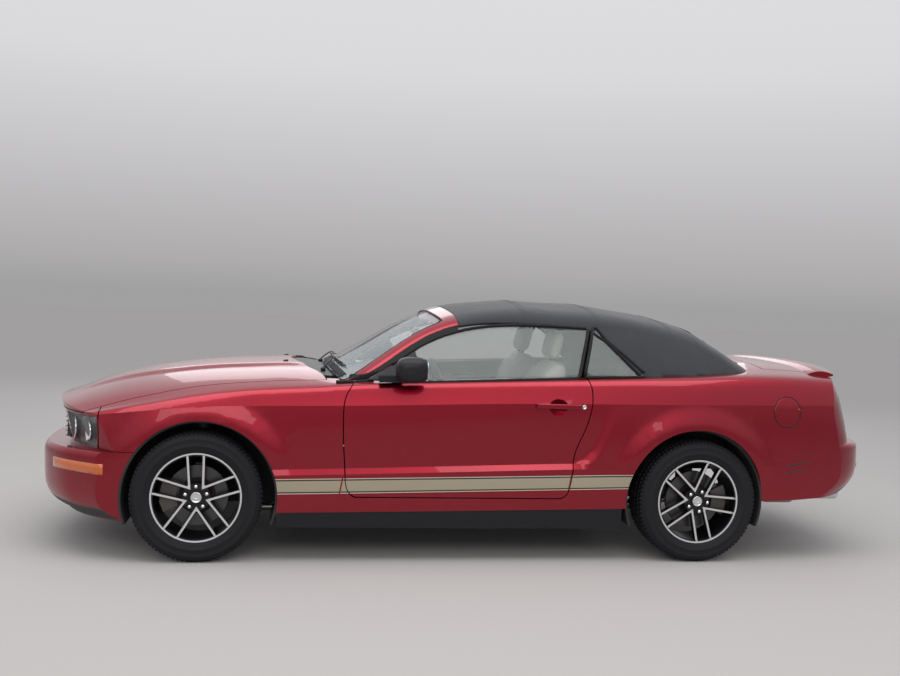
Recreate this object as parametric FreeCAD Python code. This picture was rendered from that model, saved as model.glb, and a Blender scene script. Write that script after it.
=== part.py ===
"""Two-door convertible car with a soft top, built as separate panels, glass, running gear and cabin.

Row frame: +X towards the rear, +Y towards the right side of the car, +Z up, in millimetres.
The origin is on the ground, midway along the length and width of the car.
"""

import FreeCAD, Part
import math
import os

from FreeCAD import Vector

# Driving dimensions of the whole car.
wheelbase = 2720.0
front_overhang = 890.0
rear_overhang = 1155.0
body_width = 1877.0
body_height = 1415.0

body_length = front_overhang + wheelbase + rear_overhang
half_width = body_width / 2
nose_x = -body_length / 2
front_axle_x = nose_x + front_overhang
rear_axle_x = front_axle_x + wheelbase

# Gaps and thicknesses that several pieces share.
overrun = 60.0
shut_gap = 6.0
seat_gap = 0.3
skin_thickness = 26.0
door_thickness = 120.0
door_inner_step = 20.0
door_fold_step = 17.0
pillar_foot_gap = 8.0
glass_thickness = 5.0
top_thickness = 9.0
flare_depth = 19.1
flare_width = 84.0
flare_round = 0.16
bulge_depth = 14.0
bulge_slope = 46.0
scoop_width = 44.0

# Wheels, tyres, brakes and axles.
front_track = 1580.0
rear_track = 1590.0
tyre_radius = 338.0
tyre_width = 235.0
rim_radius = 240.0
rim_width = 208.0
barrel_thickness = 9.0
bead_radius = 226.0
hub_radius = 72.0
hub_depth = 46.0
hub_cap_radius = 30.0
spoke_width = 17.0
spoke_depth = 34.0
wheel_nut_radius = 10.0
wheel_nut_circle = 57.0
disc_radius = 158.0
disc_thickness = 26.0
kingpin_inset = 20.0
ball_radius = 18.0
axle_tube_radius = 40.0
arch_radius = 400.0
liner_thickness = 11.0
flare_radius = 522.0


# A place along the car is a share: -1 to 0 runs over the front overhang, 0 to 1 over the wheelbase
# and 1 to 2 over the rear overhang.
def along(share):
    if share < 0:
        return front_axle_x + share * front_overhang
    if share > 1:
        return rear_axle_x + (share - 1) * rear_overhang
    return front_axle_x + share * wheelbase


def out(share):
    return share * half_width


def up(share):
    return share * body_height


def curve(shares, x):
    """Smooth value at x of a table of (place share, value share)."""
    return smooth([(along(a), b) for a, b in shares], x)


def smooth(rows, x):
    """Smooth value at x of a table of pairs that passes through each row."""
    xs = [row[0] for row in rows]
    ys = [row[1] for row in rows]
    last = len(xs) - 1
    if x <= xs[0]:
        return ys[0]
    if x >= xs[last]:
        return ys[last]
    i = max(k for k in range(last) if xs[k] <= x)

    def slope(k):
        low, high = max(k - 1, 0), min(k + 1, last)
        return (ys[high] - ys[low]) / (xs[high] - xs[low])

    step = xs[i + 1] - xs[i]
    t = (x - xs[i]) / step
    a = ys[i] * (1 + 2 * t) * (1 - t) ** 2
    b = ys[i + 1] * t * t * (3 - 2 * t)
    c = slope(i) * step * t * (1 - t) ** 2
    d = slope(i + 1) * step * t * t * (t - 1)
    return a + b + c + d


# Long lines of the lower body: (place share, share of the height or of the half width).
station_shares = (-1.04, -0.84, -0.64, -0.42, -0.2, 0.0, 0.09, 0.17, 0.24, 0.31, 0.42, 0.56, 0.7, 0.82,
                  0.92, 1.0,
                  1.14, 1.3, 1.46, 1.62, 1.78, 1.92, 2.04)
fine_station_shares = ((-1.04, -0.70, 3), (-0.62, -0.36, 6), (-0.31, -0.04, 5), (0.0, 0.11, 5),
                       (0.125, 0.215, 7),
                       (0.24, 0.30, 2), (0.36, 0.66, 5), (0.70, 0.77, 4), (0.785, 0.86, 8), (0.875, 1.0, 7),
                       (1.05, 1.36, 6), (1.39, 1.50, 5), (1.58, 2.04, 5))
side_row_shares = (0.0, 0.10, 0.22, 0.34, 0.46, 0.58, 0.70, 0.80, 0.90, 1.0)
low_row_shares = (0.0, 0.12, 0.25, 0.40, 0.55, 0.70, 0.85, 1.0)
neck_full_share = 0.025
scoop_shares = ((0.5882, 0.3322), (0.6912, 0.3449), (0.7294, 0.3548), (0.75, 0.3675), (0.7665, 0.3866),
                (0.7794, 0.4113), (0.7886, 0.4367), (0.7963, 0.4721), (0.8029, 0.5124), (0.811, 0.5583),
                (0.8169, 0.6007), (0.8221, 0.6784))
flare_low_shares = (0.3039, 0.3958)
bulge_width_shares = ((-1.04, 0.3516), (-0.7, 0.3729), (-0.3, 0.4092), (0.24, 0.4475))
bulge_rise_shares = ((-1.04, 0.0), (-0.86, 0.25), (-0.6, 1.0), (0.17, 1.0), (0.235, 0.0))
centre_height_shares = ((-1.04, 0.540), (-0.84, 0.577), (-0.766, 0.599), (-0.61, 0.636), (-0.446, 0.664),
                        (-0.2, 0.690), (0.017, 0.708), (0.1, 0.718), (0.171, 0.7235), (0.22, 0.716), (0.30,
                                                                                                      0.690),
                        (0.42, 0.684), (0.70, 0.708), (0.90, 0.740), (1.15, 0.774), (1.34, 0.783), (1.62,
                                                                                                    0.779),
                        (1.80, 0.757), (2.04, 0.735))
crown_height_shares = ((-1.04, 0.500), (-0.645, 0.538), (-0.324, 0.581), (0.0, 0.621), (0.11, 0.643),
                       (0.22, 0.656),
                       (0.30, 0.667), (0.76, 0.706), (1.0, 0.724), (1.25, 0.733), (1.5, 0.734), (1.75,
                                                                                                 0.7265),
                       (2.04, 0.708))
crown_width_shares = ((-1.04, 0.682), (-0.84, 0.735), (-0.573, 0.815), (-0.30, 0.852), (0.0, 0.872),
                      (0.11, 0.880),
                      (0.30, 0.8865), (0.76, 0.8865), (1.0, 0.878), (1.25, 0.862), (1.5, 0.832), (1.75,
                                                                                                  0.778),
                      (2.04, 0.690))
crease_height_shares = ((-1.04, 0.490), (-0.573, 0.530), (0.0, 0.572), (0.11, 0.580), (0.30, 0.589),
                        (0.60, 0.609),
                        (0.88, 0.617), (1.25, 0.623), (1.75, 0.625), (2.04, 0.620))
crease_width_shares = ((-1.04, 0.745), (-0.84, 0.794), (-0.573, 0.876), (-0.30, 0.925), (0.0, 0.948),
                       (0.11, 0.958),
                       (0.30, 0.964), (0.60, 0.9675), (0.88, 0.9675), (1.0, 0.964), (1.25, 0.9515), (1.5,
                                                                                                     0.925),
                       (1.75, 0.870), (2.04, 0.770))
ledge_height_shares = ((-1.04, 0.311), (0.0, 0.3235), (0.2, 0.330), (0.72, 0.3625), (0.88, 0.371),
                       (1.25, 0.3816),
                       (2.04, 0.392))
ledge_width_shares = ((-1.04, 0.795), (-0.84, 0.850), (-0.573, 0.9057), (-0.30, 0.943), (0.0, 0.964),
                      (0.2, 0.978),
                      (0.30, 0.9813), (0.72, 0.9824), (0.88, 0.978), (1.0, 0.972), (1.25, 0.959), (1.5,
                                                                                                   0.9355),
                      (1.75, 0.884), (2.04, 0.790))
neck_depth_shares = ((-1.04, 0.002), (-0.30, 0.002), (0.0, 0.005), (0.2, 0.017), (0.30, 0.020),
                     (0.72, 0.025),
                     (0.82, 0.018), (0.95, 0.004), (2.04, 0.002))
sill_height_share = 0.1343
neck_rise_share = 0.020
sill_tuck_share = 0.034
side_barrel_share = 0.006
top_row_shares = ((0.0, 0.0), (0.30, 0.055), (0.60, 0.25), (0.84, 0.60), (1.0, 1.0))
top_place_shares = (0.0, 0.16, 0.30, 0.38, 0.43, 0.48, 0.53, 0.60, 0.70, 0.80, 0.90, 1.0)
shoulder_share = (0.60, 0.34)
top_edge_shares = (0.83, 0.925)

# Plan outlines of the two ends: (place share, share of the half width), centre line first.
front_face_shares = ((-0.9045, 0.0), (-0.8966, 0.2131), (-0.8596, 0.4262), (-0.7775, 0.6393),
                     (-0.6281, 0.8311),
                     (-0.4944, 0.9377), (-0.3371, 1.0123))
front_face_lean_shares = ((0.3675, 0.0607), (0.8127, -0.1096))
bumper_face_shares = ((-0.9966, 0.0), (-0.9933, 0.1598), (-0.9775, 0.3197), (-0.9315, 0.5328),
                      (-0.8674, 0.6393),
                      (-0.7753, 0.7459), (-0.6539, 0.8418), (-0.5483, 0.9164), (-0.427, 0.975), (-0.3146,
                                                                                                 1.0176))
bumper_level_shares = ((0.1307, 0.1685), (0.1647, 0.1034), (0.1908, 0.0472), (0.2353, 0.009), (0.2968, 0.0),
                       (0.3534, -0.0034), (0.3816, 0.0034), (0.3958, 0.0247))
tail_face_shares = ((1.9022, 0.0), (1.9004, 0.2131), (1.8918, 0.4262), (1.8658, 0.6393), (1.8372, 0.7672),
                    (1.7792, 0.8524), (1.6753, 0.9217), (1.5022, 0.9909), (1.4156, 1.0229))
tail_level_shares = ((0.3958, 1.028), (0.4664, 1.016), (0.5187, 1.0), (0.5611, 0.982), (0.6403, 0.948),
                     (0.7244, 0.893), (0.788, 0.835), (0.8127, 0.808))
rear_bumper_shares = ((2.0, 0.0), (1.9983, 0.2664), (1.9887, 0.4582), (1.9593, 0.6393), (1.9004, 0.7672),
                      (1.8052, 0.8578), (1.6753, 0.9217), (1.5022, 0.9909), (1.4156, 1.0229))
rear_bumper_level_shares = ((0.1413, 0.80), (0.212, 0.87), (0.27, 0.925), (0.318, 0.982), (0.3675, 0.9988),
                            (0.424, 0.9988), (0.4523, 0.994), (0.4678, 0.965))


def spline(points, parameters=None):
    made = Part.BSplineCurve()
    if parameters:
        made.interpolate(Points=points, Parameters=list(parameters))
    else:
        made.interpolate(points)
    return made.toShape()


def line(a, b):
    return Part.LineSegment(a, b).toShape()


def flip(point):
    return Vector(point.x, -point.y, point.z)


def mirrored(shape):
    return shape.mirror(Vector(0, 0, 0), Vector(0, 1, 0))


def both(shape):
    """The right-hand solid and its left-hand mirror image."""
    return Part.makeCompound([shape, mirrored(shape)])


def box(x0, x1, y0, y1, z0, z1):
    return Part.makeBox(x1 - x0, y1 - y0, z1 - z0, Vector(x0, y0, z0))


def share_box(shares):
    """Box from ((x0, x1), (y0, y1), (z0, z1)) given as shares."""
    (x0, x1), (y0, y1), (z0, z1) = shares
    return box(along(x0), along(x1), out(y0), out(y1), up(z0), up(z1))


def polygon_prism(points, depth):
    face = Part.Face(Part.makePolygon(points + [points[0]]))
    return face.extrude(depth)


def side_prism(shares, y0, y1):
    """Straight-sided outline in side view, extruded from y0 to y1."""
    points = [Vector(along(a), y0, up(b)) for a, b in shares]
    return polygon_prism(points, Vector(0, y1 - y0, 0))


def plan_prism(shares, z0, z1):
    """Straight-sided outline in plan, extruded from z0 to z1."""
    points = [Vector(along(a), out(b), z0) for a, b in shares]
    return polygon_prism(points, Vector(0, 0, z1 - z0))


def cylinder_y(x, z, radius, y0, y1):
    return Part.makeCylinder(radius, y1 - y0, Vector(x, y0, z), Vector(0, 1, 0))


def cylinder_x(y, z, radius, x0, x1):
    return Part.makeCylinder(radius, x1 - x0, Vector(x0, y, z), Vector(1, 0, 0))


def cylinder_z(x, y, radius, z0, z1):
    return Part.makeCylinder(radius, z1 - z0, Vector(x, y, z0), Vector(0, 0, 1))


def fuse(first, *others):
    return first.fuse(list(others)).removeSplitter()


def biggest(shape, count=1):
    """Only the largest solids, so no crumbs of a cut are kept."""
    solids = sorted(shape.Solids, key=lambda s: -s.Volume)[:count]
    return solids[0] if count == 1 else Part.makeCompound(solids)


def side_points(x, inset=0.0):
    """Crease, barrel, neck, ledge, lower barrel and sill points of the right side at x."""
    crease = Vector(x, out(curve(crease_width_shares, x)) - inset, up(curve(crease_height_shares, x)))
    ledge_y = out(curve(ledge_width_shares, x)) - inset
    ledge_z = up(curve(ledge_height_shares, x))
    neck = Vector(x, ledge_y - out(curve(neck_depth_shares, x)), ledge_z + up(neck_rise_share))
    barrel = (crease + neck) * 0.5 + Vector(0, out(side_barrel_share), 0)
    sill = Vector(x, ledge_y - out(sill_tuck_share), up(sill_height_share) - inset)
    ledge = Vector(x, ledge_y, ledge_z)
    lower = (ledge + sill) * 0.5 + Vector(0, out(side_barrel_share), 0)
    return crease, barrel, neck, ledge, lower, sill


def ramp(share, rounding):
    """0 up to share 0, 1 from share 1, straight between and rounded at both ends."""
    e = rounding
    if share <= -e:
        return 0.0
    if share < e:
        return (share + e) ** 2 / (4 * e)
    if share <= 1 - e:
        return share
    if share < 1 + e:
        return 1 - (1 + e - share) ** 2 / (4 * e)
    return 1.0


def chain_distance(x, z, chain):
    """Distance of a side-view point from a chain of points, positive on its upper left."""
    best, sign = None, 1.0
    for (x0, z0), (x1, z1) in zip(chain, chain[1:]):
        dx, dz = x1 - x0, z1 - z0
        t = ((x - x0) * dx + (z - z0) * dz) / (dx * dx + dz * dz)
        t = min(1.0, max(0.0, t))
        gap = math.hypot(x - x0 - t * dx, z - z0 - t * dz)
        if best is None or gap < best:
            best = gap
            sign = 1.0 if dx * (z - z0) - dz * (x - x0) >= 0 else -1.0
    return sign * best


def flare_rise(x, z):
    """How far the raised band round a wheel opening stands out at a side-view point."""
    low, high = (up(s) for s in flare_low_shares)
    fade = ramp((z - low) / (high - low), 0.5)
    rises = [ramp((flare_radius - math.hypot(x - along(a), z - up(b))) / flare_width, flare_round)
             for a, b in arch_place_shares]
    return flare_depth * fade * max(rises)


def hollow(x, z, crease_z, neck_z):
    """How far the side falls in between its crease and its ledge, ahead of the closing line."""
    depth = out(max(curve(neck_depth_shares, x), neck_full_share if x > along(0.72) else 0.0))
    share = (crease_z - z) / (crease_z - neck_z)
    chain = [(along(a), up(b)) for a, b in scoop_shares]
    gap = chain_distance(x, z, chain) if x > chain[0][0] else scoop_width
    return depth * share * ramp(gap / scoop_width, 0.35)


def fine_side(x):
    """Rows of points of the right side at x: crease down to neck, and ledge down to sill."""
    crease, barrel, neck, ledge, lower, sill = side_points(x)
    flat_neck_y = ledge.y
    upper = []
    for share in side_row_shares:
        z = crease.z + share * (neck.z - crease.z)
        y = crease.y + share * (flat_neck_y - crease.y) + 4 * share * (1 - share) * out(side_barrel_share)
        upper.append(Vector(x, y - hollow(x, z, crease.z, neck.z) + flare_rise(x, z), z))
    under = []
    for share in low_row_shares:
        z = ledge.z + share * (sill.z - ledge.z)
        y = ledge.y + share * (sill.y - ledge.y) + 4 * share * (1 - share) * out(side_barrel_share)
        under.append(Vector(x, y + flare_rise(x, z), z))
    return upper, under


def top_points(x, inset=0.0):
    """Points from the centre line out to the crease, for the right half of the top at x."""
    centre = up(curve(centre_height_shares, x)) - inset
    crown_y = out(curve(crown_width_shares, x)) - inset * shoulder_share[0]
    crown_z = up(curve(crown_height_shares, x)) - inset * shoulder_share[0]
    crease = side_points(x, inset)[0]
    if inset == 0.0:
        crease = crease + Vector(0, flare_rise(x, crease.z), 0)
    edge = out(curve(bulge_width_shares, x))
    rise = bulge_depth * curve(bulge_rise_shares, x)
    base = centre - rise
    rows = []
    for a in top_place_shares:
        drop = smooth(top_row_shares, a)
        raised = rise * ramp((edge - a * crown_y) / bulge_slope, 0.4)
        rows.append(Vector(x, a * crown_y, base - drop * (base - crown_z) + raised))
    shoulder = Vector(x, crown_y + shoulder_share[0] * (crease.y - crown_y),
                      crown_z - shoulder_share[1] * (crown_z - crease.z))
    return rows + [shoulder, crease]


def top_spline(right):
    across = [flip(p) for p in reversed(right[1:])] + right
    places = [a * top_edge_shares[0] for a in top_place_shares] + [top_edge_shares[1], 1.0]
    half = [0.5 + 0.5 * a for a in places]
    return spline(across, [1.0 - a for a in reversed(half[1:])] + half)


def even(count):
    return [k / (count - 1) for k in range(count)]


def body_section(x, inset=0.0):
    """Plain section, for what lies inside the skin."""
    right = top_points(x, inset)
    crease, barrel, neck, ledge, lower, sill = side_points(x, inset)
    edges = [
        top_spline(right),
        spline([crease, barrel, neck], (0.0, 0.5, 1.0)),
        line(neck, ledge),
        spline([ledge, lower, sill], (0.0, 0.5, 1.0)),
        line(sill, flip(sill)),
        spline([flip(sill), flip(lower), flip(ledge)], (0.0, 0.5, 1.0)),
        line(flip(ledge), flip(neck)),
        spline([flip(neck), flip(barrel), flip(crease)], (0.0, 0.5, 1.0)),
    ]
    return Part.Wire(edges)


def skin_strips(x):
    """Rows of points round the outside at x, strip by strip, with their shares along each strip."""
    right = top_points(x)
    upper, under = fine_side(x)
    across = right[:-1] + [upper[0]]
    places = [a * top_edge_shares[0] for a in top_place_shares] + [top_edge_shares[1], 1.0]
    half = [0.5 + 0.5 * a for a in places]
    left_upper, left_under = [flip(p) for p in reversed(upper)], [flip(p) for p in reversed(under)]
    return [
        ([flip(p) for p in reversed(across[1:])] + across, [1.0 - a for a in reversed(half[1:])] + half),
        (upper, side_row_shares),
        ([upper[-1], under[0]], (0.0, 1.0)),
        (under, low_row_shares),
        ([under[-1], left_under[0]], (0.0, 1.0)),
        (left_under, [1.0 - a for a in reversed(low_row_shares)]),
        ([left_under[-1], left_upper[0]], (0.0, 1.0)),
        (left_upper, [1.0 - a for a in reversed(side_row_shares)]),
    ]


def through(points, places):
    """Smooth curve through points at set parameters."""
    made = Part.BSplineCurve()
    if len(points) == 2:
        made.buildFromPolesMultsKnots(list(points), (2, 2), (0.0, 1.0), False, 1)
    else:
        made.interpolate(Points=list(points), Parameters=list(places))
    return made


def net_surface(rows, row_places, stations):
    """Smooth surface through a net of points: one row for each station along the car."""
    sections = [through(row, row_places) for row in rows]
    columns = list(zip(*[section.getPoles() for section in sections]))
    lines = [through(column, stations) for column in columns]
    across, along_car = sections[0], lines[0]
    made = Part.BSplineSurface()
    made.buildFromPolesMultsKnots([made_line.getPoles() for made_line in lines], across.getMultiplicities(),
                                  along_car.getMultiplicities(), across.getKnots(), along_car.getKnots(),
                                  False, False, across.Degree, along_car.Degree)
    return made


def body_loft(inset=0.0):
    """A long form inside the lower body's skin, moved inwards by inset, before its ends are cut."""
    return Part.makeLoft([body_section(along(s), inset) for s in station_shares], True, False)


def net_solid(sections, stations):
    """Solid through sections: each one a closed chain of strips, a strip being points and their shares."""
    faces = []
    for k in range(len(sections[0])):
        rows = [section[k][0] for section in sections]
        faces.append(net_surface(rows, sections[0][k][1], stations).toShape())
    for section in (sections[0], sections[-1]):
        faces.append(Part.Face(Part.Wire([through(row, shares).toShape() for row, shares in section])))
    skin = Part.Shell(faces)
    skin.sewShape()
    return Part.Solid(Part.Shell(skin.Faces))


def skin_loft():
    """The long outer form of the lower body before its ends are cut."""
    places = sorted({round(a + (b - a) * k / n, 6) for a, b,
                     n in fine_station_shares for k in range(n + 1)})
    return net_solid([skin_strips(along(s)) for s in places], places)


def end_wire(points, z, far_x):
    """Closed plan outline at height z: a smooth end curve, then straight back to far_x."""
    right = [Vector(x, y, z) for x, y in points]
    whole = [flip(p) for p in reversed(right[1:])] + right
    last = whole[-1]
    corner = Vector(far_x, last.y, z)
    return Part.Wire([spline(whole), line(last, corner), line(corner, flip(corner)),
                      line(flip(corner), whole[0])])


def front_form(inset=0.0):
    """Region behind the leaning lamp face and, lower down, behind the bumper."""
    far = along(2.1)
    lean = front_overhang
    upper = []
    for level, shift in front_face_lean_shares:
        points = [(along(a) + shift * lean + inset, out(b)) for a, b in front_face_shares]
        upper.append(end_wire(points, up(level), far))
    upper_solid = Part.makeLoft(upper, True, True)
    lower = []
    top_level = bumper_level_shares[-1][0]
    for level, shift in bumper_level_shares:
        points = [(along(a) + shift * lean + inset, out(b)) for a, b in bumper_face_shares]
        height = up(level) - (inset if level == top_level else 0.0)
        lower.append(end_wire(points, height, far))
    lower_solid = Part.makeLoft(lower, True, False)
    return fuse(upper_solid, lower_solid)


def scaled_end(points_share, factor, inset, far):
    """Tail outline drawn in towards the rear axle by a factor."""
    points = []
    for a, b in points_share:
        points.append((rear_axle_x + (along(a) - rear_axle_x) * factor - inset, out(b)))
    return points


def rear_form(inset=0.0):
    """Region ahead of the tail face and, lower down, ahead of the rear bumper."""
    far = along(-1.1)
    upper = []
    for level, factor in tail_level_shares:
        upper.append(end_wire(scaled_end(tail_face_shares, factor, inset, far), up(level), far))
    lower = []
    top_level = rear_bumper_level_shares[-1][0]
    for level, factor in rear_bumper_level_shares:
        height = up(level) - (inset if level == top_level else 0.0)
        lower.append(end_wire(scaled_end(rear_bumper_shares, factor, inset, far), height, far))
    return fuse(Part.makeLoft(upper, True, False), Part.makeLoft(lower, True, False))

glass_gap = 3.0


# Wheel openings and flares.
arch_place_shares = ((0.0048, 0.2389), (0.9926, 0.2403))
arch_inner_share = 0.5967

# Cuts between panels, in side view: (place share, height share).
door_front_shares = ((0.2941, 0.8481), (0.2919, 0.6693), (0.2761, 0.6184), (0.2724, 0.5555),
                     (0.2739, 0.4523),
                     (0.2787, 0.3371), (0.2849, 0.2721), (0.2985, 0.2488))
door_rear_shares = ((0.7059, 0.2488), (0.7213, 0.2671), (0.7265, 0.2968), (0.7316, 0.3767),
                    (0.7368, 0.4346),
                    (0.7526, 0.5088), (0.7643, 0.5823), (0.768, 0.6403), (0.7662, 0.682), (0.7596, 0.7138),
                    (0.7574, 0.8481))
hood_side_share = 0.7938
hood_rear_shares = ((0.1706, 0.0), (0.1809, 0.2344), (0.2066, 0.4582), (0.2301, 0.6393), (0.2397, 0.7938))
hood_front_height_share = 0.5314
fender_front_share = -0.5674
bumper_top_share = 0.4
trunk_side_share = 0.6819
trunk_front_share = 1.4069
trunk_face_share = 0.4177
trunk_base_share = 0.4721
rear_bumper_top_share = 0.4678
rocker_top_shares = ((0.1103, 0.1852), (0.864, 0.2106))
quarter_bumper_shares = ((1.303, 0.0707), (1.3255, 0.3322), (1.3316, 0.4035), (1.658, 0.424),
                         (1.7273, 0.4678), (2.0303, 0.4678), (2.0303, 0.0707))
rear_bumper_low_shares = ((1.2424, 0.0353), (1.2424, 0.2389), (1.5022, 0.2431), (1.7792, 0.2558),
                          (2.0303, 0.277),
                          (2.0303, 0.0353))
deck_front_shares = ((1.2424, 0.8418), (1.3203, 0.7459), (1.368, 0.4795), (1.381, 0.0))
cabin_front_share = 0.2537
cabin_side_share = 0.7587
lamp_shares = ((-1.0112, 0.6095), (-1.0112, 0.8524))

# Upper body: the line down the middle of glass and roof, and how far it falls towards the sides.
roof_line_shares = ((0.2059, 0.677), (0.2357, 0.711), (0.3154, 0.7943), (0.3853, 0.8728), (0.4393, 0.9265),
                    (0.4688, 0.9484), (0.5037, 0.9675), (0.5563, 0.9866), (0.6324, 0.9986),
                    (0.7085, 1.0), (0.7996, 0.9943), (0.8824, 0.9802), (0.9559, 0.9569),
                    (1.0346, 0.93), (1.1385, 0.8876), (1.2424, 0.8382), (1.3463, 0.7859),
                    (1.4502, 0.7279))
roof_fall_share = 0.0587
roof_fall_width_share = 0.7459
roof_section_shares = (-0.84, -0.56, -0.28, 0.0, 0.28, 0.56, 0.84)
house_station_shares = (0.2059, 0.3309, 0.4559, 0.5809, 0.7059, 0.8309, 0.9559, 1.1558, 1.3117, 1.4675)
house_low_shares = ((0.2059, 0.8226), (0.3618, 0.8418), (0.5515, 0.8609), (0.7474, 0.8652),
                    (0.8824, 0.8641),
                    (1.0693, 0.8524), (1.2502, 0.8364), (1.4675, 0.7938))
house_high_shares = ((0.2059, 0.5967), (0.3618, 0.6393), (0.5092, 0.6692), (0.6618, 0.6979),
                     (0.7721, 0.7032),
                     (0.8824, 0.6926), (1.0693, 0.65), (1.2502, 0.6127), (1.4675, 0.5647))
house_level_share = (0.7067, 0.9011)
house_floor_share = 0.537
house_base_share = 0.6219
house_top_share = 1.0318
house_bow_share = 0.010
shoulder_height = 46.0
shoulder_reach = 118.0
roof_row_shares = (1.0, 0.75, 0.5, 0.25, 0.0)
shoulder_row_shares = (0.25, 0.5, 0.75)
house_row_shares = (0.0, 0.1, 0.2, 0.2175, 0.233, 0.2475, 0.265, 0.32, 0.38, 0.44, 0.5)
shell_station_shares = (0.2243, 0.2574, 0.3154, 0.3853, 0.4393, 0.4688, 0.5037, 0.5563, 0.6324, 0.7085,
                        0.7996, 0.8824, 0.9559, 1.0346, 1.1385, 1.2424, 1.3463, 1.4502)
header_rear_shares = ((0.4846, 0.9187), (0.4846, 1.0106))
screen_inset_share = 0.0554
header_depth_share = 0.0228
pillar_depth_share = 0.0511


def side_chain(shares, y, shift=0.0):
    return [Vector(along(a) + shift, y, up(b)) for a, b in shares]


def door_outline(shrink, y0, y1):
    """Prism of the door's outline in side view, drawn in all round by shrink."""
    front = side_chain(door_front_shares, y0, shrink)
    rear = side_chain(door_rear_shares, y0, -shrink)
    front[-1] = front[-1] + Vector(0, 0, shrink)
    rear[0] = rear[0] + Vector(0, 0, shrink)
    edges = [spline(front), line(front[-1], rear[0]), spline(rear), line(rear[-1], front[0])]
    return Part.Face(Part.Wire(edges)).extrude(Vector(0, y1 - y0, 0))


def plan_curve_prism(shares, behind_x, z0, z1, shift=0.0):
    """Prism between a smooth plan curve across the car and a straight line at behind_x."""
    right = [Vector(along(a) + shift, out(b), z0) for a, b in shares]
    if right[0].y > right[-1].y:
        right.reverse()
    wide = Vector(right[-1].x, out(1.2), z0)
    whole = [flip(p) for p in reversed(right[1:])] + right
    corner = Vector(behind_x, wide.y, z0)
    edges = [spline(whole), line(whole[-1], wide), line(wide, corner), line(corner, flip(corner)),
             line(flip(corner), flip(wide)), line(flip(wide), whole[0])]
    return Part.Face(Part.Wire(edges)).extrude(Vector(0, 0, z1 - z0))


def body_form(inset):
    """The whole lower body as one solid: its outside at 0, or moved inwards by inset."""
    form = body_loft(inset) if inset else skin_loft()
    return form.common(front_form(inset)).common(rear_form(inset))


def arches(radius, inner, outer):
    """Cylinders through the four wheel openings."""
    made = []
    for a, b in arch_place_shares:
        made.append(cylinder_y(along(a), up(b), radius, inner, outer))
        made.append(cylinder_y(along(a), up(b), radius, -outer, -inner))
    return made


def house_side_points(x, inset):
    low_z, high_z = up(house_level_share[0]), up(house_level_share[1])
    low_y = out(curve(house_low_shares, x)) - inset
    high_y = out(curve(house_high_shares, x)) - inset
    lean = (high_y - low_y) / (high_z - low_z)

    def at(z):
        return Vector(x, low_y + lean * (z - low_z), z)

    base_z, top_z = up(house_base_share), up(house_top_share)
    middle = at((base_z + top_z) / 2) + Vector(0, out(house_bow_share), 0)
    return at(base_z), middle, at(top_z)


def house_side(x, z, inset):
    """Distance from the middle plane to the side of the upper body at x and z."""
    base, middle, top = house_side_points(x, inset)
    t = (z - base.z) / (top.z - base.z)
    return base.y + t * (top.y - base.y) + 4 * t * (1 - t) * out(house_bow_share)


def house_outline(x, inset):
    """Section of the upper body at x, with a rounded shoulder between side and roof."""
    line_z = up(smooth([(along(a), b) for a, b in roof_line_shares], x)) - inset
    fall = up(roof_fall_share) / out(roof_fall_width_share) ** 2
    y = out(0.7)
    for _ in range(12):
        z = line_z - fall * y * y
        y = house_side(x, z, inset)
    base_z = up(house_floor_share)
    down = min(shoulder_height, 0.6 * (z - base_z))
    corner = Vector(x, y, z)
    low = Vector(x, house_side(x, z - down, inset), z - down)
    middle_z = (base_z + low.z) / 2
    base = Vector(x, house_side(x, base_z, inset), base_z)
    middle = Vector(x, house_side(x, middle_z, inset), middle_z)
    inner = y - shoulder_reach
    roof = [Vector(x, a * inner, line_z - fall * (a * inner) ** 2) for a in roof_row_shares]
    bend = [low * (1 - t) ** 2 + corner * (2 * t * (1 - t)) + roof[0] * t ** 2 for t in shoulder_row_shares]
    right = [base, middle, low] + bend + roof
    whole = right + [flip(p) for p in reversed(right[:-1])]
    return [(whole, house_row_shares + tuple(1.0 - a for a in reversed(house_row_shares[:-1]))),
            ([flip(base), base], (0.0, 1.0))]


def house_section(x, inset):
    """Cross-section of the upper body's sides at x."""
    base, middle, top = house_side_points(x, inset)
    return Part.Wire([spline([base, middle, top], (0.0, 0.5, 1.0)), line(top, flip(top)),
                      spline([flip(top), flip(middle), flip(base)], (0.0, 0.5, 1.0)), line(flip(base),
                                                                                           base)])


def house_sides(inset):
    return Part.makeLoft([house_section(along(s), inset) for s in house_station_shares], True, False)


def roof_form(inset):
    """Region under the glass and roof line, falling towards the sides."""
    wires = []
    floor_z = up(house_base_share)
    for a in roof_section_shares:
        y = out(a)
        points = roof_points(y, inset)
        low_a, low_b = Vector(points[0].x, y, floor_z - up(0.2)), Vector(points[-1].x, y, floor_z - up(0.2))
        wires.append(Part.Wire([spline(points), line(points[-1], low_b), line(low_b, low_a),
                                line(low_a, points[0])]))
    return Part.makeLoft(wires, True, False)


def side_layer(near, far):
    """Thin layer of the right side of the upper body, between two insets."""
    wires = []
    for share in house_station_shares:
        a0, a1, a2 = house_side_points(along(share), near)
        b0, b1, b2 = house_side_points(along(share), far)
        wires.append(Part.Wire([spline([a0, a1, a2], (0.0, 0.5, 1.0)), line(a2, b2),
                                spline([b2, b1, b0], (0.0, 0.5, 1.0)), line(b0, a0)]))
    return Part.makeLoft(wires, True, False)


def roof_points(y, inset):
    fall = up(roof_fall_share) * (y / out(roof_fall_width_share)) ** 2
    return [Vector(along(p), y, up(q) - fall - inset) for p, q in roof_line_shares]


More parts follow.
